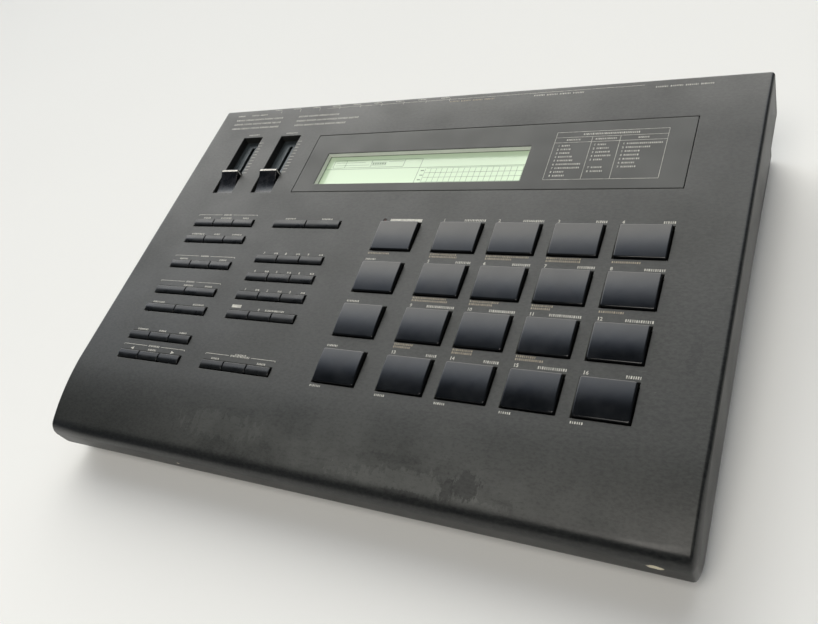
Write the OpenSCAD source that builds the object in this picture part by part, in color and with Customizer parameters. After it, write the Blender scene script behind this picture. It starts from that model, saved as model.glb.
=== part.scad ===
// Table-top drum machine: sixteen playing pads, four function pads, thirteen rows of keys,
// two slide faders, a display behind an inset window and a row of sockets on the rear panel.
// X runs along the width, +Y points to the rear, +Z up. The origin is under the middle of the
// footprint, on the table. The control panel slopes down towards the player.
// "Panel frame" below means: X as above, Y = 0 at the panel's rear edge, negative towards the
// player, and Z = 0 on the panel's surface, negative into the case.

/* [Case] */
// Width of the top case
case_w = 406; // [400:0.5:412]
// Length of the control panel, rear edge to nose
case_len = 284.5; // [281:0.5:292]
// Height of the panel's rear edge above the table
rear_top_z = 63; // [61:0.5:66]
// Slope of the control panel in degrees
tilt = 4.4; // [4.1:0.1:4.7]
// Height of the side walls at the rear
side_h_rear = 34.5; // [33:0.5:36]
// Height of the side walls at the nose
side_h_nose = 37.5; // [36:0.25:38.5]
// Wall thickness of the moulded top case
case_wall = 3; // [2.6:0.1:3.2]
// Rounding of the upper side and rear edges
edge_r = 2.2; // [1.5:0.1:3]
// Rounding of the lower rear corners of the side walls
heel_r = 5; // [3:0.5:7]
// Length of the front zone that rolls down to the nose
roll_len = 50; // [44:1:52]
// Radius of the rolled front zone
roll_r = 150; // [120:5:170]
// Radius of the upper nose edge
nose_top_r = 9; // [7:0.5:11]
// Radius of the lower nose edge
nose_low_r = 14; // [11:0.5:15]
// Height of the rim that hangs down at the rear
rear_rim_h = 8; // [6:0.5:9]

/* [Playing pads] */
// Pad opening, across
pad_hole_x = 28.5; // [27.5:0.1:29.5]
// Pad opening, front to back
pad_hole_y = 22.3; // [21.5:0.1:23]
// Spacing of the pad columns
pad_pitch_x = 35.8; // [35:0.1:36.5]
// Spacing of the pad rows
pad_pitch_y = 31.1; // [30:0.1:32]
// Centre of the first main pad column, right of the case's middle
pad_col_x = 46; // [45:0.5:47]
// Centre of the function pad column, right of the case's middle
function_col_x = 3.9; // [3:0.1:5]
// Centre of the rear pad row, from the panel's rear edge
pad_row_y = 124.6; // [123:0.2:126]
// Gap round each pad
pad_gap = 0.65; // [0.5:0.05:0.8]
// Height of a pad above the panel
pad_rise = 2.6; // [2:0.1:3.2]
// Fall of a pad's top at its front edge
pad_fall = 1.4; // [0.8:0.1:1.6]
// Wall thickness of a pad cap
pad_wall = 1.6; // [1.3:0.1:2]
// Travel of a pad
pad_travel = 1.2; // [0.8:0.1:1.4]

/* [Keys] */
// Width of a key row's slot
key_slot_x = 54.4; // [53.5:0.1:55.2]
// Depth of a key row's slot, front to back
key_slot_y = 6.4; // [6:0.1:6.8]
// Centre of the left key column, left of the case's middle
left_keys_x = 140.9; // [140:0.1:142]
// Centre of the middle key column, left of the case's middle
centre_keys_x = 68.2; // [67.5:0.1:69]
// Centre of the rearmost key row, from the panel's rear edge
key_row_y = 116.1; // [115:0.1:117]
// Grid step of the key rows
key_step = 7.37; // [7.2:0.01:7.5]
// Gap round the caps of a key row
key_gap = 0.5; // [0.4:0.05:0.6]
// Gap between two caps of one key row
key_split = 0.6; // [0.5:0.05:0.8]
// Height of a key above the panel
key_rise = 1.1; // [0.8:0.1:1.5]
// Fall of a key's top at its front edge
key_fall = 0.7; // [0.5:0.05:0.8]
// Travel of a key
key_travel = 0.8; // [0.5:0.1:1]

/* [Faders] */
// Width of a fader slot
fader_slot_x = 18.2; // [17.5:0.1:18.8]
// Length of a fader slot
fader_slot_y = 55.6; // [54.5:0.2:57]
// Rear end of the fader slots, from the panel's rear edge
fader_rear_y = 31.8; // [31:0.2:33]
// Centre of the left fader, left of the case's middle
left_fader_x = 159.2; // [158:0.2:160]
// Centre of the right fader, left of the case's middle
right_fader_x = 122.8; // [122:0.2:124]
// Depth of the slot floor below the panel
fader_floor = 5.6; // [5.2:0.1:6.2]
// Travel of a fader
fader_travel = 30; // [28:0.5:31]
// Width of a fader knob
fader_knob_x = 15.2; // [14.5:0.1:15.6]
// Length of the finger ramp in front of the knob's ridge
fader_ramp = 15.6; // [15:0.1:16.4]
// Height of the knob's ridge above the panel
fader_rise = 3.5; // [3:0.1:4]

/* [Display] */
// Width of the inset display panel
display_x = 263; // [261:0.5:265]
// Depth of the inset display panel, front to back
display_y = 54.2; // [53.6:0.2:55]
// Centre of the display panel, right of the case's middle
display_cx = 36.2; // [35.8:0.2:36.8]
// Centre of the display panel, from the panel's rear edge
display_cy = 60.4; // [59.8:0.2:61]
// Thickness of the display panel
display_t = 1.5; // [1.2:0.1:1.6]
// Gap round the display panel
display_gap = 0.35; // [0.25:0.05:0.4]
// Width of the display aperture
lcd_x = 151.4; // [150:0.2:153]
// Depth of the display aperture, front to back
lcd_y = 28.5; // [28:0.1:29.2]
// Centre of the aperture, left of the case's middle
lcd_cx = 3.4; // [2.8:0.2:4]
// Centre of the aperture, from the panel's rear edge
lcd_cy = 66; // [65.6:0.2:66.4]
// Depth of the display glass below the panel
lcd_depth = 4.4; // [4:0.1:4.8]

/* [Sockets] */
// Number of phone jacks
jack_count = 11; // [9:1:11]
// Bore radius of a phone jack
jack_bore_r = 3.2; // [3.15:0.01:3.3]
// Depth of a phone jack's bore
jack_depth = 22; // [20:0.5:24]
// Height of the jack centres above the table
jack_z = 38; // [37:0.5:39]
// Spacing of the round five-pin sockets
din_pitch = 21; // [20.4:0.2:22]
// Width of a memory card slot
card_x = 56; // [55:0.5:57]
// Height of a memory card slot
card_z = 5.2; // [5:0.1:5.6]
// Spacing of the two card slots
card_pitch = 13; // [12:0.5:14]

/* [Chassis] */
// Thickness of the folded steel chassis
steel_t = 1.2; // [1:0.1:1.5]
// Height of the rubber feet
foot_h = 3; // [2.6:0.1:3.4]
// Radius of the rubber feet
foot_r = 8; // [7:0.5:10]
// Thickness of the circuit boards
board_t = 1.6; // [1.2:0.1:2]
// Height of the main board above the chassis floor
board_lift = 8; // [6:0.5:9]

/* [Hidden] */
$fn = 48;

// Colours of the finishes
case_grey = "#5e605d";
window_grey = "#666866";
pad_grey = "#3c3f41";
key_grey = "#4a4c4b";
board_green = "#2f5a3c";
steel_black = "#2b2c2c";
nickel = "#c9c8c2";
moulding_black = "#1c1d1e";

// Clearances: between pieces that lie close, and how far a cut runs past a face
seat = 0.3;
touch = 0.05;
past = 1;
round_min = 0.6;

// ---- Panel frame -------------------------------------------------------------------------
half_w = case_w / 2;
roll_y = -(case_len - roll_len);
nose_y = -(case_len - nose_top_r);
nose_z = -roll_r + sqrt(pow(roll_r - nose_top_r, 2) - pow(nose_y - roll_y, 2));
chin_y = -(case_len - nose_low_r);
chin_z = -side_h_nose + nose_low_r;
heel_y = -heel_r;
heel_z = -side_h_rear + heel_r;
side_r = edge_r;
nose_side_r = 4;
// The panel's rear edge lies where the footprint of nose and heel is centred on the origin
nose_reach = nose_y * cos(tilt) - nose_z * sin(tilt) - nose_top_r;
heel_reach = heel_y * cos(tilt) - heel_z * sin(tilt) + heel_r;
panel_y0 = -(nose_reach + heel_reach) / 2;
function world_y(y, z) = panel_y0 + y * cos(tilt) - z * sin(tilt);
function world_z(y, z) = rear_top_z + y * sin(tilt) + z * cos(tilt);
// How far the rolled front zone lies below the flat panel
function roll_drop(y) =
    y < roll_y ? roll_r - sqrt(pow(roll_r, 2) - pow(roll_y - y, 2)) : 0;
function surface_z(wy) = rear_top_z + (wy - panel_y0) * tan(tilt);

module on_panel() {
    translate([0, panel_y0, rear_top_z])
        rotate([tilt, 0, 0]) children();
}

// Box from its middle in x and y and its lowest and highest z
module slab(cx, cy, lx, ly, z0, z1) {
    translate([cx - lx / 2, cy - ly / 2, z0]) cube([lx, ly, z1 - z0]);
}

// Slab with rounded upright corners of radius r
module round_slab(cx, cy, lx, ly, z0, z1, r) {
    slab(cx, cy, lx - 2 * r, ly, z0, z1);
    slab(cx, cy, lx, ly - 2 * r, z0, z1);
    for (sx = [-1, 1], sy = [-1, 1])
        translate([cx + sx * (lx / 2 - r), cy + sy * (ly / 2 - r), z0])
            cylinder(r = r, h = z1 - z0);
}

// ---- Layout ------------------------------------------------------------------------------
pad_count = 16;
function_count = 4;
key_lines = 15;
function pad_x(i) = pad_col_x + ((i - 1) % 4) * pad_pitch_x;
function pad_y(i) = -pad_row_y - floor((i - 1) / 4) * pad_pitch_y;
function function_pad_y(i) = -pad_row_y - (i - 1) * pad_pitch_y;
pad_places = concat(
    [for (i = [1 : pad_count]) [pad_x(i), pad_y(i)]],
    [for (i = [1 : function_count]) [function_col_x, function_pad_y(i)]]);
// Key rows: grid line and number of caps
left_rows = [[0, 3], [2, 3], [5, 3], [8, 2], [10, 2], [13, 3], [key_lines, 3]];
centre_rows = [[0, 2], [4, 3], [6, 3], [8, 3], [10, 3], [key_lines, 3]];
function key_y(line) = -key_row_y - line * key_step;
key_places = concat(
    [for (r = left_rows) [-left_keys_x, key_y(r[0]), r[1]]],
    [for (r = centre_rows) [-centre_keys_x, key_y(r[0]), r[1]]]);
fader_places = [-left_fader_x, -right_fader_x];
fader_mid_y = -fader_rear_y - fader_slot_y / 2;

// Depths below the panel
under = -case_wall;
flange_t = 1.5;
flange_z = under - seat;
pad_ledge = 1.3;
plunger_len = 1.2;
dome_z = flange_z - flange_t - plunger_len - pad_travel - seat;
mat_t = 1.2;
dome_h = 0.8;
dome_r = 8.5;
dome_top_r = 7.5;
pad_board_z = dome_z - dome_h - mat_t;
key_ledge = 1;
switch_z = flange_z - flange_t - plunger_len - key_travel - seat;
switch_h = 3.4;
key_board_z = switch_z - switch_h;

// Board outlines: pads, keys
board_margin = 8;
pad_board_x0 = function_col_x - pad_hole_x / 2 - pad_ledge - board_margin;
pad_board_x1 = pad_x(pad_count) + pad_hole_x / 2 + pad_ledge + board_margin;
board_end = 7;
pad_board_y0 = pad_y(pad_count) - pad_hole_y / 2 - board_end;
pad_board_y1 = -pad_row_y + pad_hole_y / 2 + board_end;
key_board_x0 = -left_keys_x - key_slot_x / 2 - key_ledge - board_margin;
key_board_x1 = -centre_keys_x + key_slot_x / 2 + key_ledge + board_margin / 2;
key_board_y0 = key_y(key_lines) - key_slot_y / 2 - board_end;
key_board_y1 = key_y(0) + key_slot_y / 2 + board_end;
post_r = 2.5;
stake_r = 1.2;
stake_out = 1.4;
post_edge = 3.2;
pad_row_mid = -pad_row_y - 1.5 * pad_pitch_y;
pad_posts = [
    for (x = [pad_board_x0 + post_edge, pad_board_x1 - post_edge])
        for (y = [pad_board_y0 + post_edge, pad_row_mid, pad_board_y1 - post_edge]) [x, y]];
key_gap_x = -(left_keys_x + centre_keys_x) / 2;
key_posts = [
    [key_gap_x, key_board_y1 - post_edge],
    [key_gap_x, key_y(floor(key_lines / 2))],
    [key_gap_x, key_board_y0 + post_edge],
    [key_board_x0 + post_edge, key_y(3.5)],
    [key_board_x0 + post_edge, key_board_y0 + post_edge]];

// Display stack
collar_t = 1.2;
cell_t = 2.8;
cell_margin = 3;
backlight_t = 0.6;
frame_margin = 6;
frame_t = 0.8;
collar_end = -lcd_depth + frame_t + touch;
lcd_board_z = -lcd_depth - touch - cell_t - backlight_t;
lcd_board_x = lcd_x + 2 * frame_margin + 4 * post_edge;
lcd_board_y = lcd_y + 2 * frame_margin + board_t;
lcd_posts = [
    for (sx = [-1, 1])
        for (sy = [-1, 1])
            [-lcd_cx + sx * (lcd_board_x / 2 - post_edge),
             -lcd_cy + sy * (lcd_board_y / 2 - post_edge)]];

// Run lamp
led_in = 1.55;
led_off = 1.9;
led_x = function_col_x - pad_hole_x / 2 + led_in;
led_y = -pad_row_y + pad_hole_y / 2 + led_off;
led_r = 1.15;
led_hole_r = 1.6;

// Faders: half of the ridge, its spread below, and the knob's place at the front stop
ridge_half = 1.4;
ridge_back = 1.9;
fader_end_gap = 1.2;
ridge_rest_y = fader_mid_y - fader_slot_y / 2 + fader_end_gap + fader_ramp + ridge_half;
well_t = 1.2;
fader_plate_x = fader_slot_x + 2 * well_t;
fader_plate_y = fader_slot_y + 2 * well_t;
fader_plate_t = 1;
fader_can_x = 9;
fader_can_h = 8;
fader_can_end = 4;
tongue_x = 2.2;
tongue_y = 3;
tongue_len = 6;
slit_gap = 0.4;

// Chassis and rear panel, over the table
tray_gap = 0.4;
tray_half = half_w - case_wall - tray_gap;
floor_z = foot_h;
floor_top = foot_h + steel_t;
lip_len = 24;
mouth_y = -(case_len - lip_len);
tray_front = world_y(mouth_y, -side_h_nose) + tray_gap;
plate_y = world_y(-case_wall, 0) - seat;
plate_in = plate_y - steel_t;
plate_top = world_z(-case_wall - seat - steel_t, under) - tray_gap;
plate_foot = 9;
flange_in = 6;

// Screw posts of the case: x, and panel-frame y. The last one stands in front of the card slots
case_post_r = 4;
post_side = tray_half - steel_t - case_post_r - seat;
post_front = -(case_len - lip_len - case_post_r - 5.5);
post_mid_x = -27;
post_mid_y = -125;
post_side_y = -97;
post_rear_y = -48;
post_card_y = -66;
case_posts = [
    [-post_side, post_front], [post_mid_x, post_front], [post_side, post_front],
    [-post_side, post_side_y], [post_mid_x, post_mid_y], [post_side, post_side_y],
    [-post_side, post_rear_y], [post_side, post_card_y]];
screw_r = 1.5;
screw_hole_r = screw_r + touch;
screw_head_r = 2.8;
screw_head_h = 1.8;
screw_len = 9;
rear_screw_in = 13;
rear_screw_mid = 60;
rear_screw_x = [rear_screw_in - half_w, -rear_screw_mid, rear_screw_mid, half_w - rear_screw_in];
rear_screw_z = rear_top_z - 11.5;
rear_block_x = 10;
rear_block_y = 8;
rear_block_low = 3.2;

// Sockets on the rear panel, laid out from both ends; the phone jacks share the room between
power_x = 16.6 - tray_half;
dc_x = power_x + 18;
jack_x0 = dc_x + 19.8;
card_body_x = card_x + 6;
card_cx = tray_half - card_body_x / 2 - 6.6;
din_count = 3;
din_x0 = card_cx - card_body_x / 2 - 13 - (din_count - 1) * din_pitch;
sync_pitch = 10;
sync_x0 = din_x0 - 16.2 - sync_pitch;
jack_pitch = (sync_x0 - 13 - jack_x0) / (jack_count - 1);
jack_body = [14, 20, 12];
jack_bush_r = 4.5;
jack_bush_out = 3.4;
jack_board_z = jack_z - jack_body[2] / 2;
nut_r = 6.6;
nut_h = 1.8;
din_body = [19, 13, 16];
din_r = 7.4;
din_face_out = 0.8;
din_ring_r = 6.4;
din_ring_t = 0.8;
din_ring_deep = 7;
din_key = 2.4;
din_pin_at = 3.8;
din_pin_r = 0.9;
din_z = jack_board_z + din_body[2] / 2;
sync_count = 2;
sync_body = [9.2, 12, 8];
sync_r = 3;
sync_out = 2;
sync_bore_r = 1.8;
sync_deep = 11;
sync_z = jack_board_z + sync_body[2] / 2;
dc_body = [13, 13, 11];
dc_r = 4.4;
dc_out = 1;
dc_bore_r = 2.8;
dc_deep = 9.5;
dc_pin_r = 1;
dc_z = jack_board_z + dc_body[2] / 2;
power_z = 38;
power_body = [12, 20, 13];
button_x = 8;
button_z = 6;
button_out = 4.4;
button_stem = 8;
button_corner = 0.9;
power_travel = 3;
card_body_y = 44;
card_bottom = floor_top + board_lift + board_t;
card_body_h = 30;
card_mid_z = card_bottom + card_body_h / 2;
card_deep = 38;
card_frame_out = 1;
card_frame = 2;

// ---- Case --------------------------------------------------------------------------------
// One corner ball at each side of the case, t inside the outer faces
module corner_pair(y, z, r, rx, t) {
    ri = max(r - t, round_min);
    rxi = max(rx - t, round_min);
    for (s = [-1, 1])
        translate([s * (half_w - t - rxi), y, z])
            scale([rxi / ri, 1, 1]) sphere(r = ri, $fn = 32);
}

// The closed outer shape, all faces moved in by t: flat panel, rolled front zone, nose and
// chin, and the heels of the side walls
module case_blank(t) {
    roll_end = asin((roll_y - nose_y) / (roll_r - nose_top_r));
    roll_steps = 5;
    top_in = t + max(edge_r - t, round_min);
    heel_in = t + max(heel_r - t, round_min) - heel_r;
    hull() {
        corner_pair(-top_in, -top_in, edge_r, side_r, t);
        for (k = [0 : roll_steps])
            corner_pair(roll_y - (roll_r - top_in) * sin(roll_end * k / roll_steps),
                -roll_r + (roll_r - top_in) * cos(roll_end * k / roll_steps), edge_r, side_r, t);
        corner_pair(nose_y, nose_z, nose_top_r, nose_side_r, t);
        corner_pair(chin_y, chin_z, nose_low_r, nose_side_r, t);
        corner_pair(heel_y - heel_in, heel_z + heel_in, heel_r, side_r, t);
    }
}

// The wall of the case, open underneath and, below the rear rim, at the back
module case_shell() {
    mouth_half = half_w - case_wall;
    difference() {
        case_blank(0);
        case_blank(case_wall);
        translate([-mouth_half, mouth_y, -2 * side_h_nose])
            cube([2 * mouth_half, -mouth_y - case_wall, 2 * side_h_nose - nose_low_r]);
        translate([-mouth_half, -3 * case_wall, -2 * side_h_nose])
            cube([2 * mouth_half, 4 * case_wall, 2 * side_h_nose - rear_rim_h]);
    }
}

// Every opening in the panel: pads, key rows, faders, display and run lamp. Under the panel
// the ledges of pads and keys keep their room, also where the roll begins close to them
module panel_openings() {
    for (p = pad_places) {
        slab(p[0], p[1], pad_hole_x, pad_hole_y, 2 * under, past);
        slab(p[0], p[1], pad_hole_x + 2 * (pad_ledge + seat), pad_hole_y, 3 * under, under);
    }
    for (k = key_places) {
        slab(k[0], k[1], key_slot_x, key_slot_y, 2 * under, past);
        slab(k[0], k[1], key_slot_x + 2 * (key_ledge + seat), key_slot_y + 2 * (key_ledge + seat),
            3 * under, under);
    }
    for (x = fader_places)
        slab(x, fader_mid_y, fader_slot_x, fader_slot_y, -2 * fader_floor, past);
    slab(display_cx, -display_cy, display_x, display_y, -display_t - touch, past);
    slab(-lcd_cx, -lcd_cy, lcd_x + 2 * collar_t + 2 * seat, lcd_y + 2 * collar_t + 2 * seat,
        2 * under, past);
    translate([led_x, led_y, 2 * under]) cylinder(r = led_hole_r, h = 3 * case_wall);
}

// Walls of a fader's well, from the panel down to the fader's plate
module fader_wells() {
    for (x = fader_places)
        slab(x, fader_mid_y, fader_slot_x + 2 * well_t, fader_slot_y + 2 * well_t,
            -fader_floor, under / 2);
}

// Posts that carry the boards, each with a stake that passes through its board
module board_posts(places, board_z) {
    for (p = places)
        translate([p[0], p[1], 0]) {
            translate([0, 0, board_z]) cylinder(r = post_r, h = -board_z + under / 2);
            translate([0, 0, board_z - board_t - stake_out])
                cylinder(r = stake_r, h = board_t + 2 * stake_out);
        }
}

// Stiffening ribs between the pad columns and along the roll
module panel_ribs() {
    rib_t = 1.5;
    rib_h = 4;
    rib_off = 3;
    rib_side = 12;
    for (i = [0 : 2])
        slab(pad_col_x + (i + 0.5) * pad_pitch_x, pad_row_mid, rib_t,
            3 * pad_pitch_y + pad_hole_y, under - rib_h, under / 2);
    for (y = [pad_board_y0 - rib_off, -display_cy - display_y / 2 - 2 * rib_off])
        slab(0, y, case_w - 2 * (case_wall + rib_side), rib_t, under - rib_h, under / 2);
}

// Square-on posts that take the chassis screws, and the blocks behind the rear rim
module screw_posts() {
    for (p = case_posts) {
        wy = world_y(p[1], 0);
        translate([p[0], wy, floor_top])
            cylinder(r = case_post_r, h = surface_z(wy) - roll_drop(p[1] - case_post_r)
                - floor_top - case_wall / 2);
    }
    for (x = rear_screw_x)
        translate([x - rear_block_x / 2, plate_in - touch - rear_block_y,
            rear_screw_z - rear_block_low])
            cube([rear_block_x, rear_block_y,
                surface_z(plate_in - rear_block_y) - rear_screw_z + rear_block_low
                    - case_wall / 2]);
}

module top_case() {
    color(case_grey) difference() {
        union() {
            on_panel() {
                case_shell();
                fader_wells();
                board_posts(pad_posts, pad_board_z);
                board_posts(key_posts, key_board_z);
                board_posts(lcd_posts, lcd_board_z);
                panel_ribs();
            }
            screw_posts();
        }
        on_panel() panel_openings();
        for (p = case_posts)
            translate([p[0], world_y(p[1], 0), floor_top - past])
                cylinder(r = screw_hole_r, h = screw_len + 2 * past);
        for (x = rear_screw_x)
            translate([x, plate_in + past, rear_screw_z])
                rotate([90, 0, 0]) cylinder(r = screw_hole_r, h = screw_len + past);
    }
}

// ---- Display -----------------------------------------------------------------------------
// The inset window plate with the sunk frame round the display
module display_panel() {
    color(window_grey) on_panel() difference() {
        union() {
            slab(display_cx, -display_cy, display_x - 2 * display_gap,
                display_y - 2 * display_gap, -display_t, 0);
            slab(-lcd_cx, -lcd_cy, lcd_x + 2 * collar_t, lcd_y + 2 * collar_t, collar_end, -display_t / 2);
        }
        slab(-lcd_cx, -lcd_cy, lcd_x, lcd_y, -2 * lcd_depth, past);
    }
}

// Folded metal frame that holds the glass on its board
module lcd_frame() {
    color(steel_black) on_panel() difference() {
        slab(-lcd_cx, -lcd_cy, lcd_x + 2 * frame_margin, lcd_y + 2 * frame_margin,
            lcd_board_z, -lcd_depth + frame_t);
        slab(-lcd_cx, -lcd_cy, lcd_x + 2 * frame_margin - 2 * frame_t,
            lcd_y + 2 * frame_margin - 2 * frame_t, lcd_board_z - past, -lcd_depth);
        slab(-lcd_cx, -lcd_cy, lcd_x + 2 * seat, lcd_y + 2 * seat, -2 * lcd_depth, past);
    }
}

module lcd_cell() {
    color("#cfe0c8") on_panel()
        slab(-lcd_cx, -lcd_cy, lcd_x + 2 * cell_margin, lcd_y + 2 * cell_margin,
            lcd_board_z + backlight_t, -lcd_depth - touch);
}

module lcd_board() {
    color(board_green) on_panel() difference() {
        union() {
            slab(-lcd_cx, -lcd_cy, lcd_board_x, lcd_board_y, lcd_board_z - board_t, lcd_board_z);
            slab(-lcd_cx, -lcd_cy, lcd_x, lcd_y, lcd_board_z - touch, lcd_board_z + backlight_t);
        }
        for (p = lcd_posts)
            translate([p[0], p[1], lcd_board_z - 2 * board_t])
                cylinder(r = stake_r + touch, h = 3 * board_t);
    }
}

// Lamp with a domed lens on a spacer that stands on the pad board
module run_led() {
    color("#8e2a22") on_panel() translate([led_x, led_y, 0]) {
        translate([0, 0, pad_board_z]) cylinder(r = led_r, h = -pad_board_z - led_r);
        translate([0, 0, -led_r]) sphere(r = led_r);
    }
}

// ---- Playing pads ------------------------------------------------------------------------
cap_lip = 0.5;
fall_steps = 6;
pad_fall_part = 0.94;
fall_power = 2.3;
plunger_t = 3;
plunger_x = 14;
plunger_y = 12;

// Side outline of a cap's top from the front lip back to where it is level: the front part
// of its length, fall_part, drops ever more steeply
function fall_line(len_y, rise, fall, fall_part) = [
    for (k = [0 : fall_steps])
        let (y = -len_y / 2 + fall_part * len_y * k / fall_steps, d = 1 - k / fall_steps)
            [y, rise - fall * pow(d, fall_power)]];

// Upright solid under a falling top line: extruded across, len_x wide, down to z0
module cap_block(len_x, len_y, rise, fall, fall_part, z0) {
    line = fall_line(len_y, rise, fall, fall_part);
    front = -len_y / 2;
    outline = concat(
        [[front, z0], [front, line[0][1] - cap_lip], [front + cap_lip, line[0][1]]],
        [for (k = [1 : fall_steps]) line[k]],
        [[len_y / 2 - cap_lip, rise], [len_y / 2, rise - cap_lip], [len_y / 2, z0]]);
    translate([-len_x / 2, 0, 0])
        rotate([90, 0, 90]) linear_extrude(height = len_x) polygon(outline);
}

// A thin-walled cap, held under the panel by a ledge at each side, with a cross plunger
module pad_cap(cx, cy) {
    len_x = pad_hole_x - 2 * pad_gap;
    len_y = pad_hole_y - 2 * pad_gap;
    base = flange_z - flange_t;
    color(pad_grey) on_panel() translate([cx, cy, 0]) {
        difference() {
            union() {
                cap_block(len_x, len_y, pad_rise, pad_fall, pad_fall_part, base);
                slab(0, 0, pad_hole_x + 2 * pad_ledge, len_y, base, flange_z);
            }
            slab(0, 0, len_x - 2 * pad_wall, len_y - 2 * pad_wall, base - past,
                pad_rise - pad_fall - pad_wall);
        }
        for (arm = [[plunger_t, plunger_y], [plunger_x, plunger_t]])
            slab(0, 0, arm[0], arm[1], base - plunger_len, pad_rise - pad_fall - pad_wall / 2);
    }
}

// Silicone sheet with a dome under each pad, drawn pressed so that the caps can travel
module pad_mat() {
    x0 = pad_board_x0 + board_margin;
    x1 = pad_board_x1 - board_margin;
    y0 = pad_y(pad_count) - pad_hole_y / 2;
    y1 = -pad_row_y + pad_hole_y / 2;
    color("#8d8f8c") on_panel() {
        translate([x0, y0, pad_board_z]) cube([x1 - x0, y1 - y0, mat_t]);
        for (p = pad_places)
            translate([p[0], p[1], pad_board_z + mat_t / 2])
                cylinder(r1 = dome_r, r2 = dome_top_r, h = mat_t / 2 + dome_h);
    }
}

// A board between two corners, with a hole for each stake
module stake_board(x0, y0, x1, y1, top, places) {
    difference() {
        translate([x0, y0, top - board_t]) cube([x1 - x0, y1 - y0, board_t]);
        for (p = places)
            translate([p[0], p[1], top - 2 * board_t])
                cylinder(r = stake_r + touch, h = 3 * board_t);
    }
}

module pad_board() {
    color(board_green) on_panel()
        stake_board(pad_board_x0, pad_board_y0, pad_board_x1, pad_board_y1, pad_board_z,
            pad_posts);
}

// ---- Keys --------------------------------------------------------------------------------
key_fall_part = 0.6;
key_pin_r = 1.6;
switch_w = 6;
actuator_r = 1.7;
actuator_h = 0.8;
function cap_width(n) = (key_slot_x - 2 * key_gap - (n - 1) * key_split) / n;
function cap_offset(n, k) = (k - (n - 1) / 2) * (cap_width(n) + key_split);

// One moulded strip: the caps of a row on a common web under the panel
module key_strip(place) {
    n = place[2];
    len_y = key_slot_y - 2 * key_gap;
    base = flange_z - flange_t;
    color(key_grey) on_panel() translate([place[0], place[1], 0]) {
        slab(0, 0, key_slot_x + 2 * key_ledge, key_slot_y + 2 * key_ledge, base, flange_z);
        for (k = [0 : n - 1])
            translate([cap_offset(n, k), 0, 0]) {
                cap_block(cap_width(n), len_y, key_rise, key_fall, key_fall_part, base);
                translate([0, 0, base - plunger_len])
                    cylinder(r = key_pin_r, h = plunger_len + flange_t);
            }
    }
}

// Board with a tact switch under each cap, drawn with the actuators pressed
module key_board() {
    color(board_green) on_panel() {
        stake_board(key_board_x0, key_board_y0, key_board_x1, key_board_y1, key_board_z,
            key_posts);
        for (p = key_places, k = [0 : p[2] - 1])
            translate([p[0] + cap_offset(p[2], k), p[1], 0]) {
                slab(0, 0, switch_w, switch_w, key_board_z - touch, switch_z - actuator_h);
                translate([0, 0, key_board_z])
                    cylinder(r = actuator_r, h = switch_z - key_board_z);
            }
    }
}

// ---- Faders ------------------------------------------------------------------------------
// Knob with a narrow ridge, a hollow finger ramp in front and a flat tongue underneath
module fader_knob(cx) {
    low = -3.9;
    ramp_end = -2;
    ramp_steps = 8;
    ramp_bend = 1.8;
    crest = 0.5;
    ramp_top = fader_rise - crest;
    ramp_front = -ridge_half - fader_ramp;
    ramp = [
        for (k = [0 : ramp_steps])
            let (f = k / ramp_steps)
                [ramp_front + fader_ramp * f,
                 ramp_end + (ramp_top - ramp_end) * pow(f, ramp_bend)]];
    outline = concat(
        [[ramp_front, low]], ramp,
        [[crest / 2 - ridge_half, fader_rise - crest / 4], [2 * crest - ridge_half, fader_rise],
         [ridge_half - crest, fader_rise], [ridge_half, ramp_top], [ridge_back, low]]);
    color(moulding_black) on_panel() translate([cx, ridge_rest_y, 0]) {
        translate([-fader_knob_x / 2, 0, 0])
            rotate([90, 0, 90]) linear_extrude(height = fader_knob_x) polygon(outline);
        slab(0, 0, tongue_x, tongue_y, -fader_floor - tongue_len, low + past);
    }
}

// Two slide potentiometers: a slit plate that is the floor of the well, over a steel can
module slide_faders() {
    slit_y = fader_travel + tongue_y + 2 * slit_gap;
    slit_mid = ridge_rest_y + fader_travel / 2;
    color(steel_black) on_panel()
        for (x = fader_places)
            difference() {
                union() {
                    slab(x, fader_mid_y, fader_plate_x, fader_plate_y,
                        -fader_floor - fader_plate_t, -fader_floor);
                    slab(x, slit_mid, fader_can_x, slit_y + 2 * fader_can_end,
                        -fader_floor - fader_plate_t - fader_can_h, -fader_floor - touch);
                }
                slab(x, slit_mid, tongue_x + 2 * slit_gap, slit_y,
                    -fader_floor - fader_can_h, past);
            }
}

// ---- Boards in the chassis ---------------------------------------------------------------
main_x0 = 34.6 - tray_half;
main_x1 = tray_half - 16.6;
main_front = 110;
main_y0 = world_y(-main_front, 0);
main_y1 = plate_in - past;
main_z = floor_top + board_lift;
main_top = main_z + board_t;
stud_r = 3;
stud_edge = 6;
stud_front = main_y0 + stud_edge;
stud_rear = plate_in - plate_foot - stud_r - past;
// Three studs in front, two in front of the rear panel's fold, one before the card housing
main_studs = [
    [main_x0 + stud_edge, stud_front], [(main_x0 + main_x1) / 2, stud_front],
    [main_x1 - stud_edge, stud_front],
    [main_x0 + stud_edge, stud_rear], [(main_x0 + main_x1) / 2, stud_rear],
    [main_x1 - stud_edge, plate_in - card_body_y - stud_edge]];
// Chips on the main board: size, height, first place from the board's corner, step, number
processors = [[22, 16], 3, [30, 24], 34, 4];
memories = [[16, 17], 3.6, [25, 54], 26, 6];
cell_r = 10;
cell_h = 5;
cell_at = [265, 26];
regulator = [12, 20, 12];

// A row of equal chips along X
module chip_row(row) {
    for (i = [0 : row[4] - 1])
        slab(main_x0 + row[2][0] + i * row[3], main_y0 + row[2][1], row[0][0], row[0][1],
            main_z + touch, main_top + row[1]);
}

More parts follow.
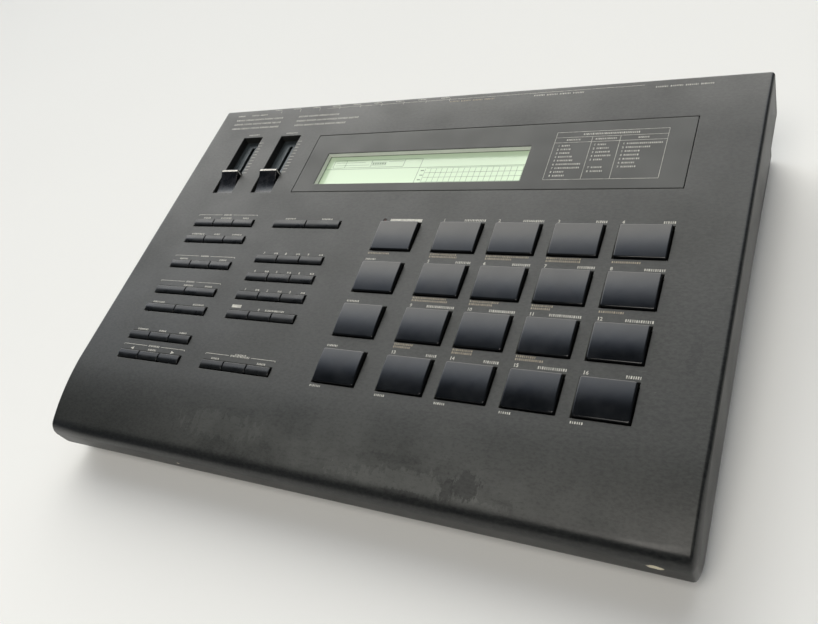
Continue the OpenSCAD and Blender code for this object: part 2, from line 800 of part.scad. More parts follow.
// Main board with its processors, memories, regulator block and back-up cell
module main_board() {
    color(board_green) difference() {
        union() {
            translate([main_x0, main_y0, main_z])
                cube([main_x1 - main_x0, main_y1 - main_y0, board_t]);
            chip_row(processors);
            chip_row(memories);
            translate([main_x0 + cell_at[0], main_y0 + cell_at[1], main_z + touch])
                cylinder(r = cell_r, h = board_t + cell_h);
            slab(main_x0 + regulator[0] + stud_edge, main_y1 - regulator[1], regulator[0],
                regulator[1], main_z + touch, main_top + regulator[2]);
        }
        for (p = main_studs)
            translate([p[0], p[1], main_z - past])
                cylinder(r = stake_r + touch, h = board_t + 2 * past);
    }
}

// Narrow board that all sockets of the rear panel are soldered to
module jack_board() {
    margin = 1;
    x0 = dc_x - dc_body[0] / 2 - margin;
    x1 = din_x0 + (din_count - 1) * din_pitch + din_body[0] / 2 + margin;
    len_y = jack_body[1] + 3 * margin;
    color(board_green)
        translate([x0, plate_in - margin - len_y, jack_board_z - board_t])
            cube([x1 - x0, len_y, board_t]);
}

// ---- Rear panel and its sockets ----------------------------------------------------------
function jack_x(i) = jack_x0 + i * jack_pitch;
// Cylinder along Y that starts at y0 and runs to the rear
module rear_pin(x, y0, z, r, len_y) {
    translate([x, y0, z]) rotate([-90, 0, 0]) cylinder(r = r, h = len_y);
}

// Panel-mount jacks: body behind the panel, threaded bush through it, bore to the body's end
module phone_jacks() {
    bush_end = plate_y + jack_bush_out;
    color(moulding_black)
        for (i = [0 : jack_count - 1])
            difference() {
                union() {
                    socket_block(jack_x(i), jack_z, jack_body);
                    rear_pin(jack_x(i), plate_in - past, jack_z, jack_bush_r,
                        bush_end - plate_in + past);
                }
                rear_pin(jack_x(i), bush_end - jack_depth, jack_z, jack_bore_r, jack_depth + past);
            }
}

module jack_nuts() {
    color(nickel)
        for (i = [0 : jack_count - 1])
            difference() {
                translate([jack_x(i), plate_y + touch, jack_z])
                    rotate([-90, 0, 0]) cylinder(r = nut_r, h = nut_h, $fn = 6);
                rear_pin(jack_x(i), plate_y - past, jack_z, jack_bush_r + touch, nut_h + 2 * past);
            }
}

// Block of a board-mounted socket, with its face against the rear panel's inside
module socket_block(x, z, size) {
    translate([x - size[0] / 2, plate_in - touch - size[1], z - size[2] / 2]) cube(size);
}

// Round five-pin sockets: block, nose with a keyed ring groove, and five contact holes
module din_sockets() {
    nose_end = plate_y + din_face_out;
    color(moulding_black)
        for (i = [0 : din_count - 1]) {
            x = din_x0 + i * din_pitch;
            difference() {
                union() {
                    socket_block(x, din_z, din_body);
                    rear_pin(x, plate_in - past, din_z, din_r, nose_end - plate_in + past);
                }
                difference() {
                    rear_pin(x, nose_end - din_ring_deep, din_z, din_ring_r,
                        din_ring_deep + past);
                    rear_pin(x, nose_end - din_ring_deep - past, din_z,
                        din_ring_r - din_ring_t, din_ring_deep + 3 * past);
                    slab(x, nose_end - din_ring_deep / 2, din_key, din_ring_deep + 4 * past,
                        din_z, din_z + din_r);
                }
                for (a = [-90 : 45 : 90])
                    rear_pin(x + din_pin_at * sin(a), nose_end - din_ring_deep,
                        din_z - din_pin_at * cos(a), din_pin_r, din_ring_deep + past);
            }
        }
}

// Two small jacks for the tape sync lines
module sync_sockets() {
    nose_end = plate_y + sync_out;
    color(moulding_black)
        for (i = [0 : sync_count - 1]) {
            x = sync_x0 + i * sync_pitch;
            difference() {
                union() {
                    socket_block(x, sync_z, sync_body);
                    rear_pin(x, plate_in - past, sync_z, sync_r, nose_end - plate_in + past);
                }
                rear_pin(x, nose_end - sync_deep, sync_z, sync_bore_r, sync_deep + past);
            }
        }
}

// Low-voltage inlet with its centre pin
module dc_inlet() {
    nose_end = plate_y + dc_out;
    color(moulding_black) {
        difference() {
            union() {
                socket_block(dc_x, dc_z, dc_body);
                rear_pin(dc_x, plate_in - past, dc_z, dc_r, nose_end - plate_in + past);
            }
            rear_pin(dc_x, nose_end - dc_deep, dc_z, dc_bore_r, dc_deep + past);
        }
        rear_pin(dc_x, nose_end - dc_deep - touch, dc_z, dc_pin_r, dc_deep - dc_out);
    }
}

// Push switch behind the panel, with a way for the button's stem
module power_switch() {
    way = power_travel + button_stem + 5 * past;
    color(moulding_black) difference() {
        socket_block(power_x, power_z, power_body);
        slab(power_x, plate_in - way / 2 + past, button_x + 2 * seat, way,
            power_z - button_z / 2 - seat, power_z + button_z / 2 + seat);
    }
}

module power_button() {
    color(moulding_black)
        translate([power_x, plate_in - button_stem, power_z]) rotate([-90, 0, 0])
            round_slab(0, 0, button_x, button_z, 0, button_stem + steel_t + button_out,
                button_corner);
}

// Outline of the card frame in the panel, grown by gap
module card_frame_block(gap, y0, y1) {
    half_h = card_pitch / 2 + card_z / 2 + card_frame + gap;
    slab(card_cx, (y0 + y1) / 2, card_x + 2 * card_frame + 2 * gap, y1 - y0,
        card_mid_z - half_h, card_mid_z + half_h);
}

// Housing with two card slots, one over the other, and a frame that shows in the panel
module card_slots() {
    mouth = plate_y + card_frame_out;
    color(moulding_black) difference() {
        union() {
            translate([card_cx - card_body_x / 2, plate_in - touch - card_body_y, card_bottom])
                cube([card_body_x, card_body_y, card_body_h]);
            card_frame_block(0, plate_in - card_body_y / 2, mouth);
        }
        for (s = [-1, 1])
            slab(card_cx, mouth + past - card_deep / 2, card_x, card_deep,
                card_mid_z + s * card_pitch / 2 - card_z / 2,
                card_mid_z + s * card_pitch / 2 + card_z / 2);
    }
}

// Steel plate between the side walls, with a foot that is folded forward onto the chassis
module rear_panel() {
    fold_in = 2 * steel_t;
    color(steel_black) difference() {
        union() {
            translate([-tray_half, plate_in, floor_z])
                cube([2 * tray_half, steel_t, plate_top - floor_z]);
            translate([-tray_half + fold_in, plate_in - plate_foot, floor_top + touch])
                cube([2 * (tray_half - fold_in), plate_foot + steel_t / 2, steel_t]);
        }
        for (i = [0 : jack_count - 1]) panel_hole(jack_x(i), jack_z, jack_bush_r + touch);
        for (i = [0 : din_count - 1]) panel_hole(din_x0 + i * din_pitch, din_z, din_r + touch);
        for (i = [0 : sync_count - 1]) panel_hole(sync_x0 + i * sync_pitch, sync_z, sync_r + touch);
        panel_hole(dc_x, dc_z, dc_r + touch);
        for (x = rear_screw_x) panel_hole(x, rear_screw_z, screw_hole_r);
        slab(power_x, plate_in, button_x + 2 * seat, 4 * past, power_z - button_z / 2 - seat,
            power_z + button_z / 2 + seat);
        card_frame_block(touch, plate_in - past, plate_y + past);
    }
}

// Round hole through the rear panel
module panel_hole(x, z, r) {
    rear_pin(x, plate_in - past, z, r, steel_t + 2 * past);
}

// ---- Chassis -----------------------------------------------------------------------------
// Folded steel tray: floor, side flanges that reach up inside the case, low front flange
module bottom_chassis() {
    rear = plate_in - touch;
    side_front = world_z(mouth_y, -side_h_nose) + flange_in;
    side_rear = world_z(0, -side_h_rear) + flange_in;
    front_h = 3;
    stake_tip = 1;
    color(steel_black) difference() {
        union() {
            difference() {
                translate([-tray_half, 0, 0]) rotate([90, 0, 90])
                    linear_extrude(height = 2 * tray_half)
                        polygon([[tray_front, floor_z], [rear, floor_z], [rear, side_rear],
                            [tray_front, side_front]]);
                translate([-tray_half + steel_t, tray_front + steel_t, floor_top])
                    cube([2 * (tray_half - steel_t), rear - tray_front, side_rear]);
                translate([-tray_half - past, tray_front - past, side_front - front_h])
                    cube([2 * (tray_half + past), past + lip_len / 4, side_rear]);
            }
            for (p = main_studs)
                translate([p[0], p[1], floor_top]) {
                    translate([0, 0, -touch]) cylinder(r = stud_r, h = board_lift + touch);
                    cylinder(r = stake_r, h = board_lift + board_t + stake_tip);
                }
        }
        for (p = case_posts)
            translate([p[0], world_y(p[1], 0), floor_z - past])
                cylinder(r = screw_hole_r, h = steel_t + 2 * past);
    }
}

// Pan-head screws: eight up through the chassis, four through the rear panel
module case_screws() {
    color(nickel) {
        for (p = case_posts)
            translate([p[0], world_y(p[1], 0), floor_z]) {
                translate([0, 0, -screw_head_h]) cylinder(r = screw_head_r, h = screw_head_h);
                cylinder(r = screw_r, h = screw_len);
            }
        for (x = rear_screw_x) {
            rear_pin(x, plate_y, rear_screw_z, screw_head_r, screw_head_h);
            rear_pin(x, plate_y - screw_len, rear_screw_z, screw_r, screw_len);
        }
    }
}

foot_in = 24;
foot_taper = 0.8;
feet_places = [
    for (x = [-1, 1])
        for (y = [tray_front + foot_in, plate_in - foot_in]) [x * (tray_half - foot_in), y]];

// Rubber feet, slightly tapered, stuck into the corners of the floor
module feet() {
    color("#161616")
        for (p = feet_places)
            translate([p[0], p[1], 0]) cylinder(r1 = foot_r - foot_taper, r2 = foot_r, h = foot_h);
}

// ---- Drawing -----------------------------------------------------------------------------
top_case();
display_panel();
lcd_frame();
lcd_cell();
lcd_board();
run_led();
for (i = [1 : pad_count])
    pad_cap(pad_x(i), pad_y(i));
for (i = [1 : function_count])
    pad_cap(function_col_x, function_pad_y(i));
pad_mat();
pad_board();
for (i = [1 : 7])
    key_strip(key_places[i - 1]);
for (i = [1 : 6])
    key_strip(key_places[i + 6]);
key_board();
fader_knob(-left_fader_x);  // left_fader_knob
fader_knob(-right_fader_x);  // right_fader_knob
slide_faders();
main_board();
jack_board();
phone_jacks();
jack_nuts();
din_sockets();
sync_sockets();
dc_inlet();
power_switch();
power_button();
card_slots();
rear_panel();
bottom_chassis();
case_screws();
feet();
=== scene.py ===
# Table-top drum machine: a moulded grey case with playing pads, rows of keys, two slide faders
# and a sunk display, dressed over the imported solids. The script follows the machine as it is
# put together. Lengths are millimetres until a mesh is made, and "panel frame" means X to the
# player's right, Y = 0 at the panel's rear edge and negative towards the player, Z = 0 on it.
import bpy
import math
import numpy as np
from mathutils import Matrix, Vector


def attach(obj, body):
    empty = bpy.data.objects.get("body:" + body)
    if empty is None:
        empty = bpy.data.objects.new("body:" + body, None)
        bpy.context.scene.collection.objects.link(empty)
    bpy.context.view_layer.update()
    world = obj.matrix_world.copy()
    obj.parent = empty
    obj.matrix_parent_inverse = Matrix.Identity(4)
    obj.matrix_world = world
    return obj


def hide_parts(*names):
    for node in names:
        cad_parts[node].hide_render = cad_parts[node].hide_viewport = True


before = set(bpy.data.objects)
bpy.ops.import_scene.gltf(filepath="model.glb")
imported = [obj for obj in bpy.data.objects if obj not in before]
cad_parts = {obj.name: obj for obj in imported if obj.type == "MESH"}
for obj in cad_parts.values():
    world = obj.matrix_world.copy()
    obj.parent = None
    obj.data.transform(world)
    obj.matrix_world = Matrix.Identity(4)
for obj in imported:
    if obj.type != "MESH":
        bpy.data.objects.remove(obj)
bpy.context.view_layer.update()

# ---- Camera ------------------------------------------------------------------------------
# The picture was taken from over the machine's right front corner, with the camera leaning,
# so that the long edges run steeply through the frame.
camera_eye = Vector((253.2393, -266.8362, 359.8853)) / 1000
camera_aim = Vector((33.6347, -37.3472, 49.3442)) / 1000
camera_right = Vector((0.86665, 0.35519, -0.35037))
camera_lens = 34.8314

looking = (camera_aim - camera_eye).normalized()
across = (camera_right - looking * camera_right.dot(looking)).normalized()
upright = across.cross(looking)
camera_data = bpy.data.cameras.new("camera")
camera_data.lens = camera_lens
camera_data.sensor_width = 36
camera_data.clip_start = 0.01
camera = bpy.data.objects.new("camera", camera_data)
bpy.context.scene.collection.objects.link(camera)
turn = Matrix((across, upright, -looking)).transposed().to_4x4()
camera.matrix_world = Matrix.Translation(camera_eye) @ turn
bpy.context.scene.camera = camera
bpy.context.scene.view_settings.view_transform = "Standard"

# ---- Studio ------------------------------------------------------------------------------
# A pale table top, one very large soft light low behind the machine on the left, a weak one
# over the player's right shoulder, and a dark ceiling.
floor_half = 3.0
panel_tilt = math.radians(4.4)
key_azimuth, key_height = math.radians(-24.7), math.radians(21.6)
key_edge = (0.60, 0.84)
key_strength = 3.85
room_strength = 0.10


def linear(code):
    """A sRGB colour written as hex, as the linear RGBA that a socket takes."""
    parts = np.array([int(code[i:i + 2], 16) for i in (1, 3, 5)]) / 255
    parts = np.where(parts <= 0.04045, parts / 12.92, ((parts + 0.055) / 1.055) ** 2.4)
    return (*parts.tolist(), 1.0)


def add(tree, kind, inputs=(), output=0, stops=(), **settings):
    """One node with its settings, the stops of a colour ramp as (place, hex colour), and its
    inputs, each a number, a colour or another node's output. Gives one of its own outputs."""
    node = tree.nodes.new("ShaderNode" + kind)
    for key, value in settings.items():
        setattr(node, key, value)
    for key, value in dict(inputs).items():
        if isinstance(value, bpy.types.NodeSocket):
            tree.links.new(value, node.inputs[key])
        else:
            node.inputs[key].default_value = value
    for element, (at, colour) in zip(node.color_ramp.elements if stops else (), stops):
        element.position = at
        element.color = linear(colour)
    return node.outputs[output]


# A Mix node's colour sockets share their names with its number sockets, so they go by number
mix_first, mix_second, mix_out = 6, 7, 2
world = bpy.data.worlds.new("studio")
world.use_nodes = True
sky = world.node_tree
key_direction = (math.sin(key_azimuth) * math.cos(key_height),
                 math.cos(key_azimuth) * math.cos(key_height), math.sin(key_height))
view_ray = add(sky, "TexCoord", output="Generated")
facing = add(sky, "VectorMath", {0: view_ray, 1: key_direction}, "Value", operation="DOT_PRODUCT")
edge_fade = {"Value": facing, "From Min": key_edge[0], "From Max": key_edge[1]}
glow = add(sky, "MapRange", {**edge_fade, "To Min": room_strength, "To Max": key_strength},
           interpolation_type="SMOOTHSTEP")
hue = add(sky, "Mix", {0: add(sky, "MapRange", edge_fade), mix_first: linear("#b4c8e6"),
                       mix_second: linear("#fffefa")}, mix_out, data_type="RGBA")
sky_light = sky.nodes["Background"]
sky.links.new(hue, sky_light.inputs["Color"])
sky.links.new(glow, sky_light.inputs["Strength"])
bpy.context.scene.world = world

fill_data = bpy.data.lights.new("fill", "AREA")
fill_data.shape = "DISK"
fill_data.size = 1.6
fill_data.energy = 42
fill_data.color = linear("#fffaf2")[:3]
fill = bpy.data.objects.new("fill", fill_data)
bpy.context.scene.collection.objects.link(fill)
fill.location = (0.15, -1.2, 2.5)
fill.rotation_euler = (-fill.location).to_track_quat("-Z", "Y").to_euler()

table_mesh = bpy.data.meshes.new("table")
table_mesh.from_pydata([(-floor_half, -floor_half, 0), (floor_half, -floor_half, 0),
                        (floor_half, floor_half, 0), (-floor_half, floor_half, 0)], [],
                       [(0, 1, 2, 3)])
table = bpy.data.objects.new("table", table_mesh)
bpy.context.scene.collection.objects.link(table)
table_paint = bpy.data.materials.new("table_paint")
table_paint.use_nodes = True
tree = table_paint.node_tree
cloud = add(tree, "TexNoise", {"Vector": add(tree, "TexCoord", output="Object"), "Scale": 1.2,
                               "Detail": 2})
tone = add(tree, "Mix", {0: cloud, mix_first: linear("#d9d9d6"), mix_second: linear("#e0e0dd")},
           mix_out, data_type="RGBA")
table_shader = tree.nodes["Principled BSDF"]
tree.links.new(tone, table_shader.inputs["Base Color"])
table_shader.inputs["Roughness"].default_value = 0.9
table_mesh.materials.append(table_paint)

# ---- Top case ----------------------------------------------------------------------------
# One injection moulding in dark grey ABS: flat control panel, front zone rolled down into a
# rounded nose, side walls, and a low rim at the rear. It is open underneath, 3 mm thick, and
# every opening has a small moulded radius.
half_width = 203.0
wall = 3.0
inner_side = half_width - wall
panel_rear = (140.126, 63.0)
chin, chin_r = (-270.5, -23.5), 14.0
nose, nose_r = (-275.5, -15.093), 9.0
roll, roll_r = (-234.5, -150.0), 150.0
roll_end = math.radians(16.905)
rear_r = 2.2
heel, heel_r, heel_steps = (-5.0, -29.5), 5.0, 8
mouth_front = (-260.5, -37.39)
belly = math.atan2(0.0113, -0.99994)
rim_low = -8.0
side_round, rim_depth = 3.0, 2.5
lining_round, lining_corner = 0.6, 0.05
edge_fillet = 0.35
pocket_depth = 1.55
pad_columns = np.array([3.9, 46.0, 81.8, 117.6, 153.4])
pad_rows = np.array([-124.6, -155.7, -186.8, -217.9])
pad_opening = (28.5, 22.3)
key_grid = 7.37
left_key_rows = np.array([0, 2, 5, 8, 10, 13, 15])
centre_key_rows = np.array([0, 4, 6, 8, 10, 15])
left_keys_x, centre_keys_x, key_first_y = -140.9, -68.2, -116.1
key_opening = (54.4, 6.4)
fader_columns = (-159.2, -122.8)
fader_opening = (18.2, 55.6)
fader_mid_y = -59.6
window_at, window_size = (36.2, -60.4), (263.0, 54.2)
glass_at, glass_size = (-3.4, -66.0), (151.4, 28.5)
glass_clear = 3.0
lamp_at, lamp_bore = (-8.8, -111.55), 2.2
pocket_edge = 0.02


def on_panel(points):
    """Panel-frame millimetres to metres on the table: turned by the panel's slope about X, then
    carried to the panel's rear edge."""
    x, y, z = np.moveaxis(np.asarray(points, float), -1, 0)
    c, s = math.cos(panel_tilt), math.sin(panel_tilt)
    return np.stack([x, panel_rear[0] + y * c - z * s, panel_rear[1] + y * s + z * c], -1) / 1000


def on_table(points):
    """Millimetres above the table to metres, unturned."""
    return np.asarray(points, float) / 1000


def make_piece(name, points, quads, caps=(), place=on_panel, sharp=38):
    """Mesh object from grid points: points that coincide are merged, quads that have fallen to
    an edge are dropped or become triangles, and edges sharper than the angle stay sharp."""
    merged, first, index = np.unique(np.round(np.reshape(points, (-1, 3)), 4), axis=0,
                                     return_index=True, return_inverse=True)
    index = index.reshape(-1)
    faces = index[np.reshape(quads, (-1, 4))]
    same = faces == np.roll(faces, -1, axis=1)
    polygons = faces[same.sum(1) == 0].tolist()
    bent = same.sum(1) == 1
    polygons += faces[bent][~same[bent]].reshape(-1, 3).tolist()
    for cap in caps:
        ring = index[np.asarray(cap)]
        polygons.append(ring[ring != np.roll(ring, 1)].tolist())
    mesh = bpy.data.meshes.new(name)
    mesh.from_pydata(place(merged), [], polygons)
    mesh.shade_smooth()
    mesh.set_sharp_from_angle(angle=math.radians(sharp))
    piece = bpy.data.objects.new(name, mesh)
    bpy.context.scene.collection.objects.link(piece)
    return piece


def fit_piece(piece, body, slot, material, *nodes):
    """Hangs a finished piece on its body, gives it its material (the slot name is not used), and
    hides the plain solids that it stands for."""
    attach(piece, body)
    if nodes:
        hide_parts(*nodes)
    piece.data.materials.append(material)


def arc_stations(centre, radius, start, stop, count):
    """Stations on a circle: centre plus radius times the outward direction, whose angle runs
    evenly from start to stop, 0 straight up and positive to the rear."""
    angle = np.linspace(start, stop, count)
    out = np.stack([np.sin(angle), np.cos(angle)], -1)
    return np.concatenate([np.asarray(centre) + radius * out, angle[:, None]], 1)


def edge_lines(low, high):
    """Grid lines beside the two edges of an opening: the four points of a quarter-round
    fillet, and one line outside that keeps the flat flat."""
    reach = edge_fillet * np.array([0, 0.134, 0.5, 1, 1.6])
    return np.concatenate([low - reach, high + reach])


def box_distance(x, y, rect):
    """Distance outside a rectangle (centre x, centre y, size x, size y), round its corners,
    and negative inside."""
    dx, dy = np.abs(x - rect[0]) - rect[2] / 2, np.abs(y - rect[1]) - rect[3] / 2
    return np.hypot(np.maximum(dx, 0), np.maximum(dy, 0)) + np.minimum(np.maximum(dx, dy), 0)


def key_row_y(rows):
    """Row centre: the first row less the grid step times the row's number."""
    return key_first_y - np.asarray(rows) * key_grid


openings = [(x, y, *pad_opening) for x in pad_columns for y in pad_rows]
openings += [(left_keys_x, y, *key_opening) for y in key_row_y(left_key_rows)]
openings += [(centre_keys_x, y, *key_opening) for y in key_row_y(centre_key_rows)]
openings += [(x, fader_mid_y, *fader_opening) for x in fader_columns]
pocket = (*window_at, *window_size)
glass_hole = (*glass_at, glass_size[0] + glass_clear, glass_size[1] + glass_clear)
lamp_hole = (*lamp_at, lamp_bore, lamp_bore)
holes = openings + [glass_hole, lamp_hole]


def grid_lines(axis, *more):
    """Grid lines across one axis: the edge lines of every opening and of the pocket, the edges
    of the pocket's floor, and any more, in order and without doubles."""
    lines = [edge_lines(o[axis] - o[axis + 2] / 2, o[axis] + o[axis + 2] / 2)
             for o in holes + [pocket]]
    floor = pocket[axis] + (pocket[axis + 2] / 2 - pocket_edge) * np.array([-1, 1])
    return np.unique(np.round(np.concatenate([*lines, floor, more]), 3))


# Grid lines across and along the panel, and the stations round the whole outline
mid_x = grid_lines(0, -inner_side, inner_side)
flat_y = grid_lines(1, roll[0] + 1)
under = math.pi
stations = np.concatenate([
    [[*mouth_front, belly - 2 * under]],
    arc_stations(chin, chin_r, belly - 2 * under, -under / 2, 14),
    arc_stations(nose, nose_r, -under / 2, -roll_end, 12),
    arc_stations(roll, roll_r, -roll_end, 0, 26)[1:],
    np.stack([flat_y, 0 * flat_y, 0 * flat_y], 1),
    arc_stations((-rear_r, -rear_r), rear_r, 0, under / 2, 6),
    [[0, rim_low, under / 2]],
    arc_stations(heel, heel_r, under / 2, belly, heel_steps),
    [[*mouth_front, belly]]])
along, drop, lean = stations.T
out_y, out_z = np.sin(lean), np.cos(lean)
# Side rounding: how deep it reaches into the outline, and how far in from the side
turns = [belly - 2 * under, -under / 2, -roll_end, 0, under / 2, under / 2 + 0.1, belly]
depth = np.interp(lean, turns, [chin_r, nose_r, nose_r, rear_r, rear_r, rim_depth, heel_r])
inset = np.interp(lean, turns, [side_round] * 3 + [rear_r] * 2 + [side_round] * 2)
depth[-1] = chin_r
below = np.abs(lean) > under / 2 + 0.01
round_at = np.linspace(0, under / 2, 7)


def case_skin(thick):
    """Grid of the case's outline, thick millimetres inside the outer faces. Row i is a station
    of the outline. Column j runs from one side wall over the panel to the other: each side
    wall's rounding is an ellipse, in by (1 - cos) along the outline's normal and out by sin
    across, and the middle is straight."""
    deep = np.maximum(depth - thick, lining_round)[:, None] if thick else depth[:, None]
    wide = np.where(below, lining_corner, lining_round)[:, None] if thick else inset[:, None]
    sine, cosine = np.sin(round_at)[None], np.cos(round_at)[None]
    limit = half_width - thick - wide
    right_x = limit + wide * sine
    middle_x = np.clip(mid_x[None], -limit, limit) if thick else mid_x[None] + 0 * limit
    x = np.concatenate([-right_x[:, ::-1], middle_x, right_x], 1)
    down = thick + deep * (1 - cosine)
    down = np.concatenate([down[:, ::-1], thick + 0 * middle_x, down], 1)
    return np.stack([x, along[:, None] - down * out_y[:, None],
                     drop[:, None] - down * out_z[:, None]], -1)


skin, lining = case_skin(0), case_skin(wall)
flat = (np.abs(lean)[:, None] < 1e-6) & (skin[..., 1] > roll[0])
fall = np.zeros(skin.shape[:2])
for rect in holes[:-2] + [pocket]:
    away = np.clip(box_distance(skin[..., 0], skin[..., 1], rect), 0, edge_fillet)
    fall = np.maximum(fall, edge_fillet - np.sqrt(edge_fillet ** 2 - (edge_fillet - away) ** 2))
fall = np.where(box_distance(skin[..., 0], skin[..., 1], pocket) < -0.01, pocket_depth, fall)
skin[..., 2] -= np.where(flat, fall, 0)

# Cells that are material: not in an opening, not in the mouth underneath or at the rear
rows, columns = skin.shape[:2]
middle = (skin[:-1, :-1] + skin[1:, 1:]) / 2
kept = np.ones((rows - 1, columns - 1), bool)
for rect in holes:
    kept &= ~((box_distance(middle[..., 0], middle[..., 1], rect) < 0)
              & flat[:-1, :-1] & flat[1:, 1:])
rim_row = rows - heel_steps - 2
open_rows = np.arange(rows - 1) >= rim_row
kept &= ~(open_rows[:, None] & (np.abs(middle[..., 0]) < inner_side))

number = np.arange(rows * columns).reshape(rows, columns)
corners = np.stack([number[:-1, :-1], number[:-1, 1:], number[1:, 1:], number[1:, :-1]], -1)
count = rows * columns
quads = [corners[kept], corners[kept][:, ::-1] + count]
# Walls of the openings: between the two skins along every edge where material ends
ring = np.concatenate([kept[-1:], kept, kept[:1]])
for (a, b), beside in (((0, 1), ring[:-2]), ((2, 3), ring[2:]),
                       ((1, 2), np.pad(kept[:, 1:], ((0, 0), (0, 1)), constant_values=True)),
                       ((3, 0), np.pad(kept[:, :-1], ((0, 0), (1, 0)), constant_values=True))):
    rim = corners[kept & ~beside]
    quads.append(np.stack([rim[:, b], rim[:, a], rim[:, a] + count, rim[:, b] + count], -1))
caps = [number[:, 0], number[::-1, -1], number[::-1, 0] + count, number[:, -1] + count]
both_skins = np.concatenate([skin.reshape(-1, 3), lining.reshape(-1, 3)])
case = make_piece("top_case_moulding", both_skins, np.concatenate(quads), caps, sharp=50)


def clouds(tree, place, scale, detail, stretch=(1, 1, 1), roughness=0.5):
    """Cloudy pattern between 0 and 1. Scale is in clouds per metre, so 1000 over the size of the
    grain in millimetres, and stretch multiplies it per axis."""
    stretched = add(tree, "Mapping", {"Vector": place, "Scale": stretch})
    return add(tree, "TexNoise", {"Vector": stretched, "Scale": scale, "Detail": detail,
                                  "Roughness": roughness})


def mask(tree, *parts):
    """Its parts multiplied, held between 0 and 1. A part is a number or a node's output, or one
    that fades: (output, from, to, share at from, share at to)."""
    product = 1.0
    for part in parts:
        if isinstance(part, tuple):
            fade = zip(("Value", "From Min", "From Max", "To Min", "To Max"), part)
            part = add(tree, "MapRange", fade)
        product = add(tree, "Math", {0: product, 1: part}, operation="MULTIPLY", use_clamp=True)
    return product


def layer(tree, tone, colour, *parts):
    """A further colour laid over the tone so far, as thick as the mask of its parts."""
    return add(tree, "Mix", {0: mask(tree, *parts), mix_first: tone, mix_second: linear(colour)},
               mix_out, data_type="RGBA")


def spot(tree, place, centre, half, ragged, grain):
    """1 inside an ellipsoid about a place on the piece and 0 outside. Clouds eat into its edge
    by the ragged share of its size. Lengths in millimetres."""
    moved = add(tree, "VectorMath", {0: place, 1: np.array(centre) / 1000}, operation="SUBTRACT")
    scaled = add(tree, "VectorMath", {0: moved, 1: 1000 / np.array(half)}, operation="MULTIPLY")
    away = add(tree, "VectorMath", {0: scaled}, "Value", operation="LENGTH")
    bites = clouds(tree, place, 1000 * grain, 5, (1, 0.35, 1), 0.7)
    eaten = add(tree, "Math", {0: bites, 1: ragged, 2: away}, operation="MULTIPLY_ADD")
    return mask(tree, (eaten, 0.95 + ragged / 2, 0.8 + ragged / 2, 0, 1))


def finish(name, colour, roughness, metallic=0.0, tones=None, dull=None, relief=None, **sockets):
    """A new material, its node tree, its shader, and the object's own coordinates in metres.
    Three sockets may follow clouds, whose own values come first: tones has the clouds and the
    stops of a colour ramp, dull the clouds and their fade to a roughness, and relief the clouds,
    its strength and its depth in metres. Any further shader socket is given by name, with
    underscores for spaces."""
    material = bpy.data.materials.new(name)
    material.use_nodes = True
    tree = material.node_tree
    shader = tree.nodes["Principled BSDF"]
    sockets.update(Base_Color=linear(colour), Roughness=roughness, Metallic=metallic)
    for key, value in sockets.items():
        shader.inputs[key.replace("_", " ")].default_value = value
    place = add(tree, "TexCoord", output="Object")
    if tones:
        tone = add(tree, "ValToRGB", {"Fac": clouds(tree, place, *tones[0])}, stops=tones[1:])
        tree.links.new(tone, shader.inputs["Base Color"])
    if dull:
        rough = mask(tree, (clouds(tree, place, *dull[0]), *dull[1:]))
        tree.links.new(rough, shader.inputs["Roughness"])
    if relief:
        height = clouds(tree, place, *relief[0])
        normal = add(tree, "Bump", {"Strength": relief[1], "Distance": relief[2],
                                    "Height": height})
        tree.links.new(normal, shader.inputs["Normal"])
    return material, tree, shader, place


# Dark ABS with a fine spark-eroded grain. The eye sees a slow uneven sheen, a greyer haze on
# the front that is partly wear where hands rub it and partly painted light that brightens the
# rolled front, most in the middle, nose and side edges polished and painted dark as a painted
# dark reflection, a few ragged dark scuffs on the rolled front beside paler rubbed ones, thin
# pale scratches and specks, and two pale chips low on it.
# A fade is (from, to, share at from, share at to), in metres. The front's wear and painted light
# fades by Y twice, by the distance from the middle and by that from its own middle, the polished,
# painted-dark nose by Z twice and Y, and the polished, painted-dark sides by the distance from
# the middle twice.
front_wear_and_light_middle = 0.03
front_fades = ((-0.096, -0.126, 0.12, 1), (-0.1405, -0.1415, 1, 0.1), (0.2020, 0.2028, 1, 0.1),
               (0.06, 0.16, 1, 0.05))
nose_fades = ((0.0272, 0.0292, 0, 1), (0.0342, 0.0366, 1, 0), (-0.134, -0.137, 0, 1))
side_fades = ((0.2006, 0.2012, 0, 1), (0.2023, 0.2028, 1, 0))
scuffs = (((97, -128.5, 38), (8.5, 7.5, 6), 0.65), ((88, -131, 37), (3.5, 7, 6), 0.65),
          ((56, -122, 40), (17, 2.2, 6), 0.3), ((64, -137, 35), (14, 1.8, 3), 0.6),
          ((118, -134, 36), (6, 3, 6), 0.3), ((189, -50, 49), (3.5, 15, 6), 0.45))
rubs = (((62, -133, 37), (36, 7, 7), 0.28), ((104, -137, 35), (20, 3.5, 5), 0.32),
        ((-60, -122, 41), (30, 8, 7), 0.2))
chips = (((185.7, -142.2, 25.2), (4.2, 5, 2.2), 1.0), ((-93.8, -142, 21.6), (1.2, 5, 0.8), 1.0))
case_plastic, tree, shader, place = finish("case_abs", "#262725", 0.45, Specular_IOR_Level=0.36,
                                           relief=((1400, 4), 0.4, 0.00006))
axes = add(tree, "SeparateXYZ", {"Vector": place}).node.outputs
wide_x = add(tree, "Math", {0: axes["X"]}, operation="ABSOLUTE")
beside = add(tree, "Math", {0: axes["X"], 1: front_wear_and_light_middle}, operation="SUBTRACT")
away_x = add(tree, "Math", {0: beside}, operation="ABSOLUTE")
front, nose_edge, side_edge = (
    mask(tree, *((value, *fade) for value, fade in zip(values, fades)))
    for values, fades in (((axes["Y"], axes["Y"], wide_x, away_x), front_fades),
                          ((axes["Z"], axes["Z"], axes["Y"]), nose_fades),
                          ((wide_x, wide_x), side_fades)))
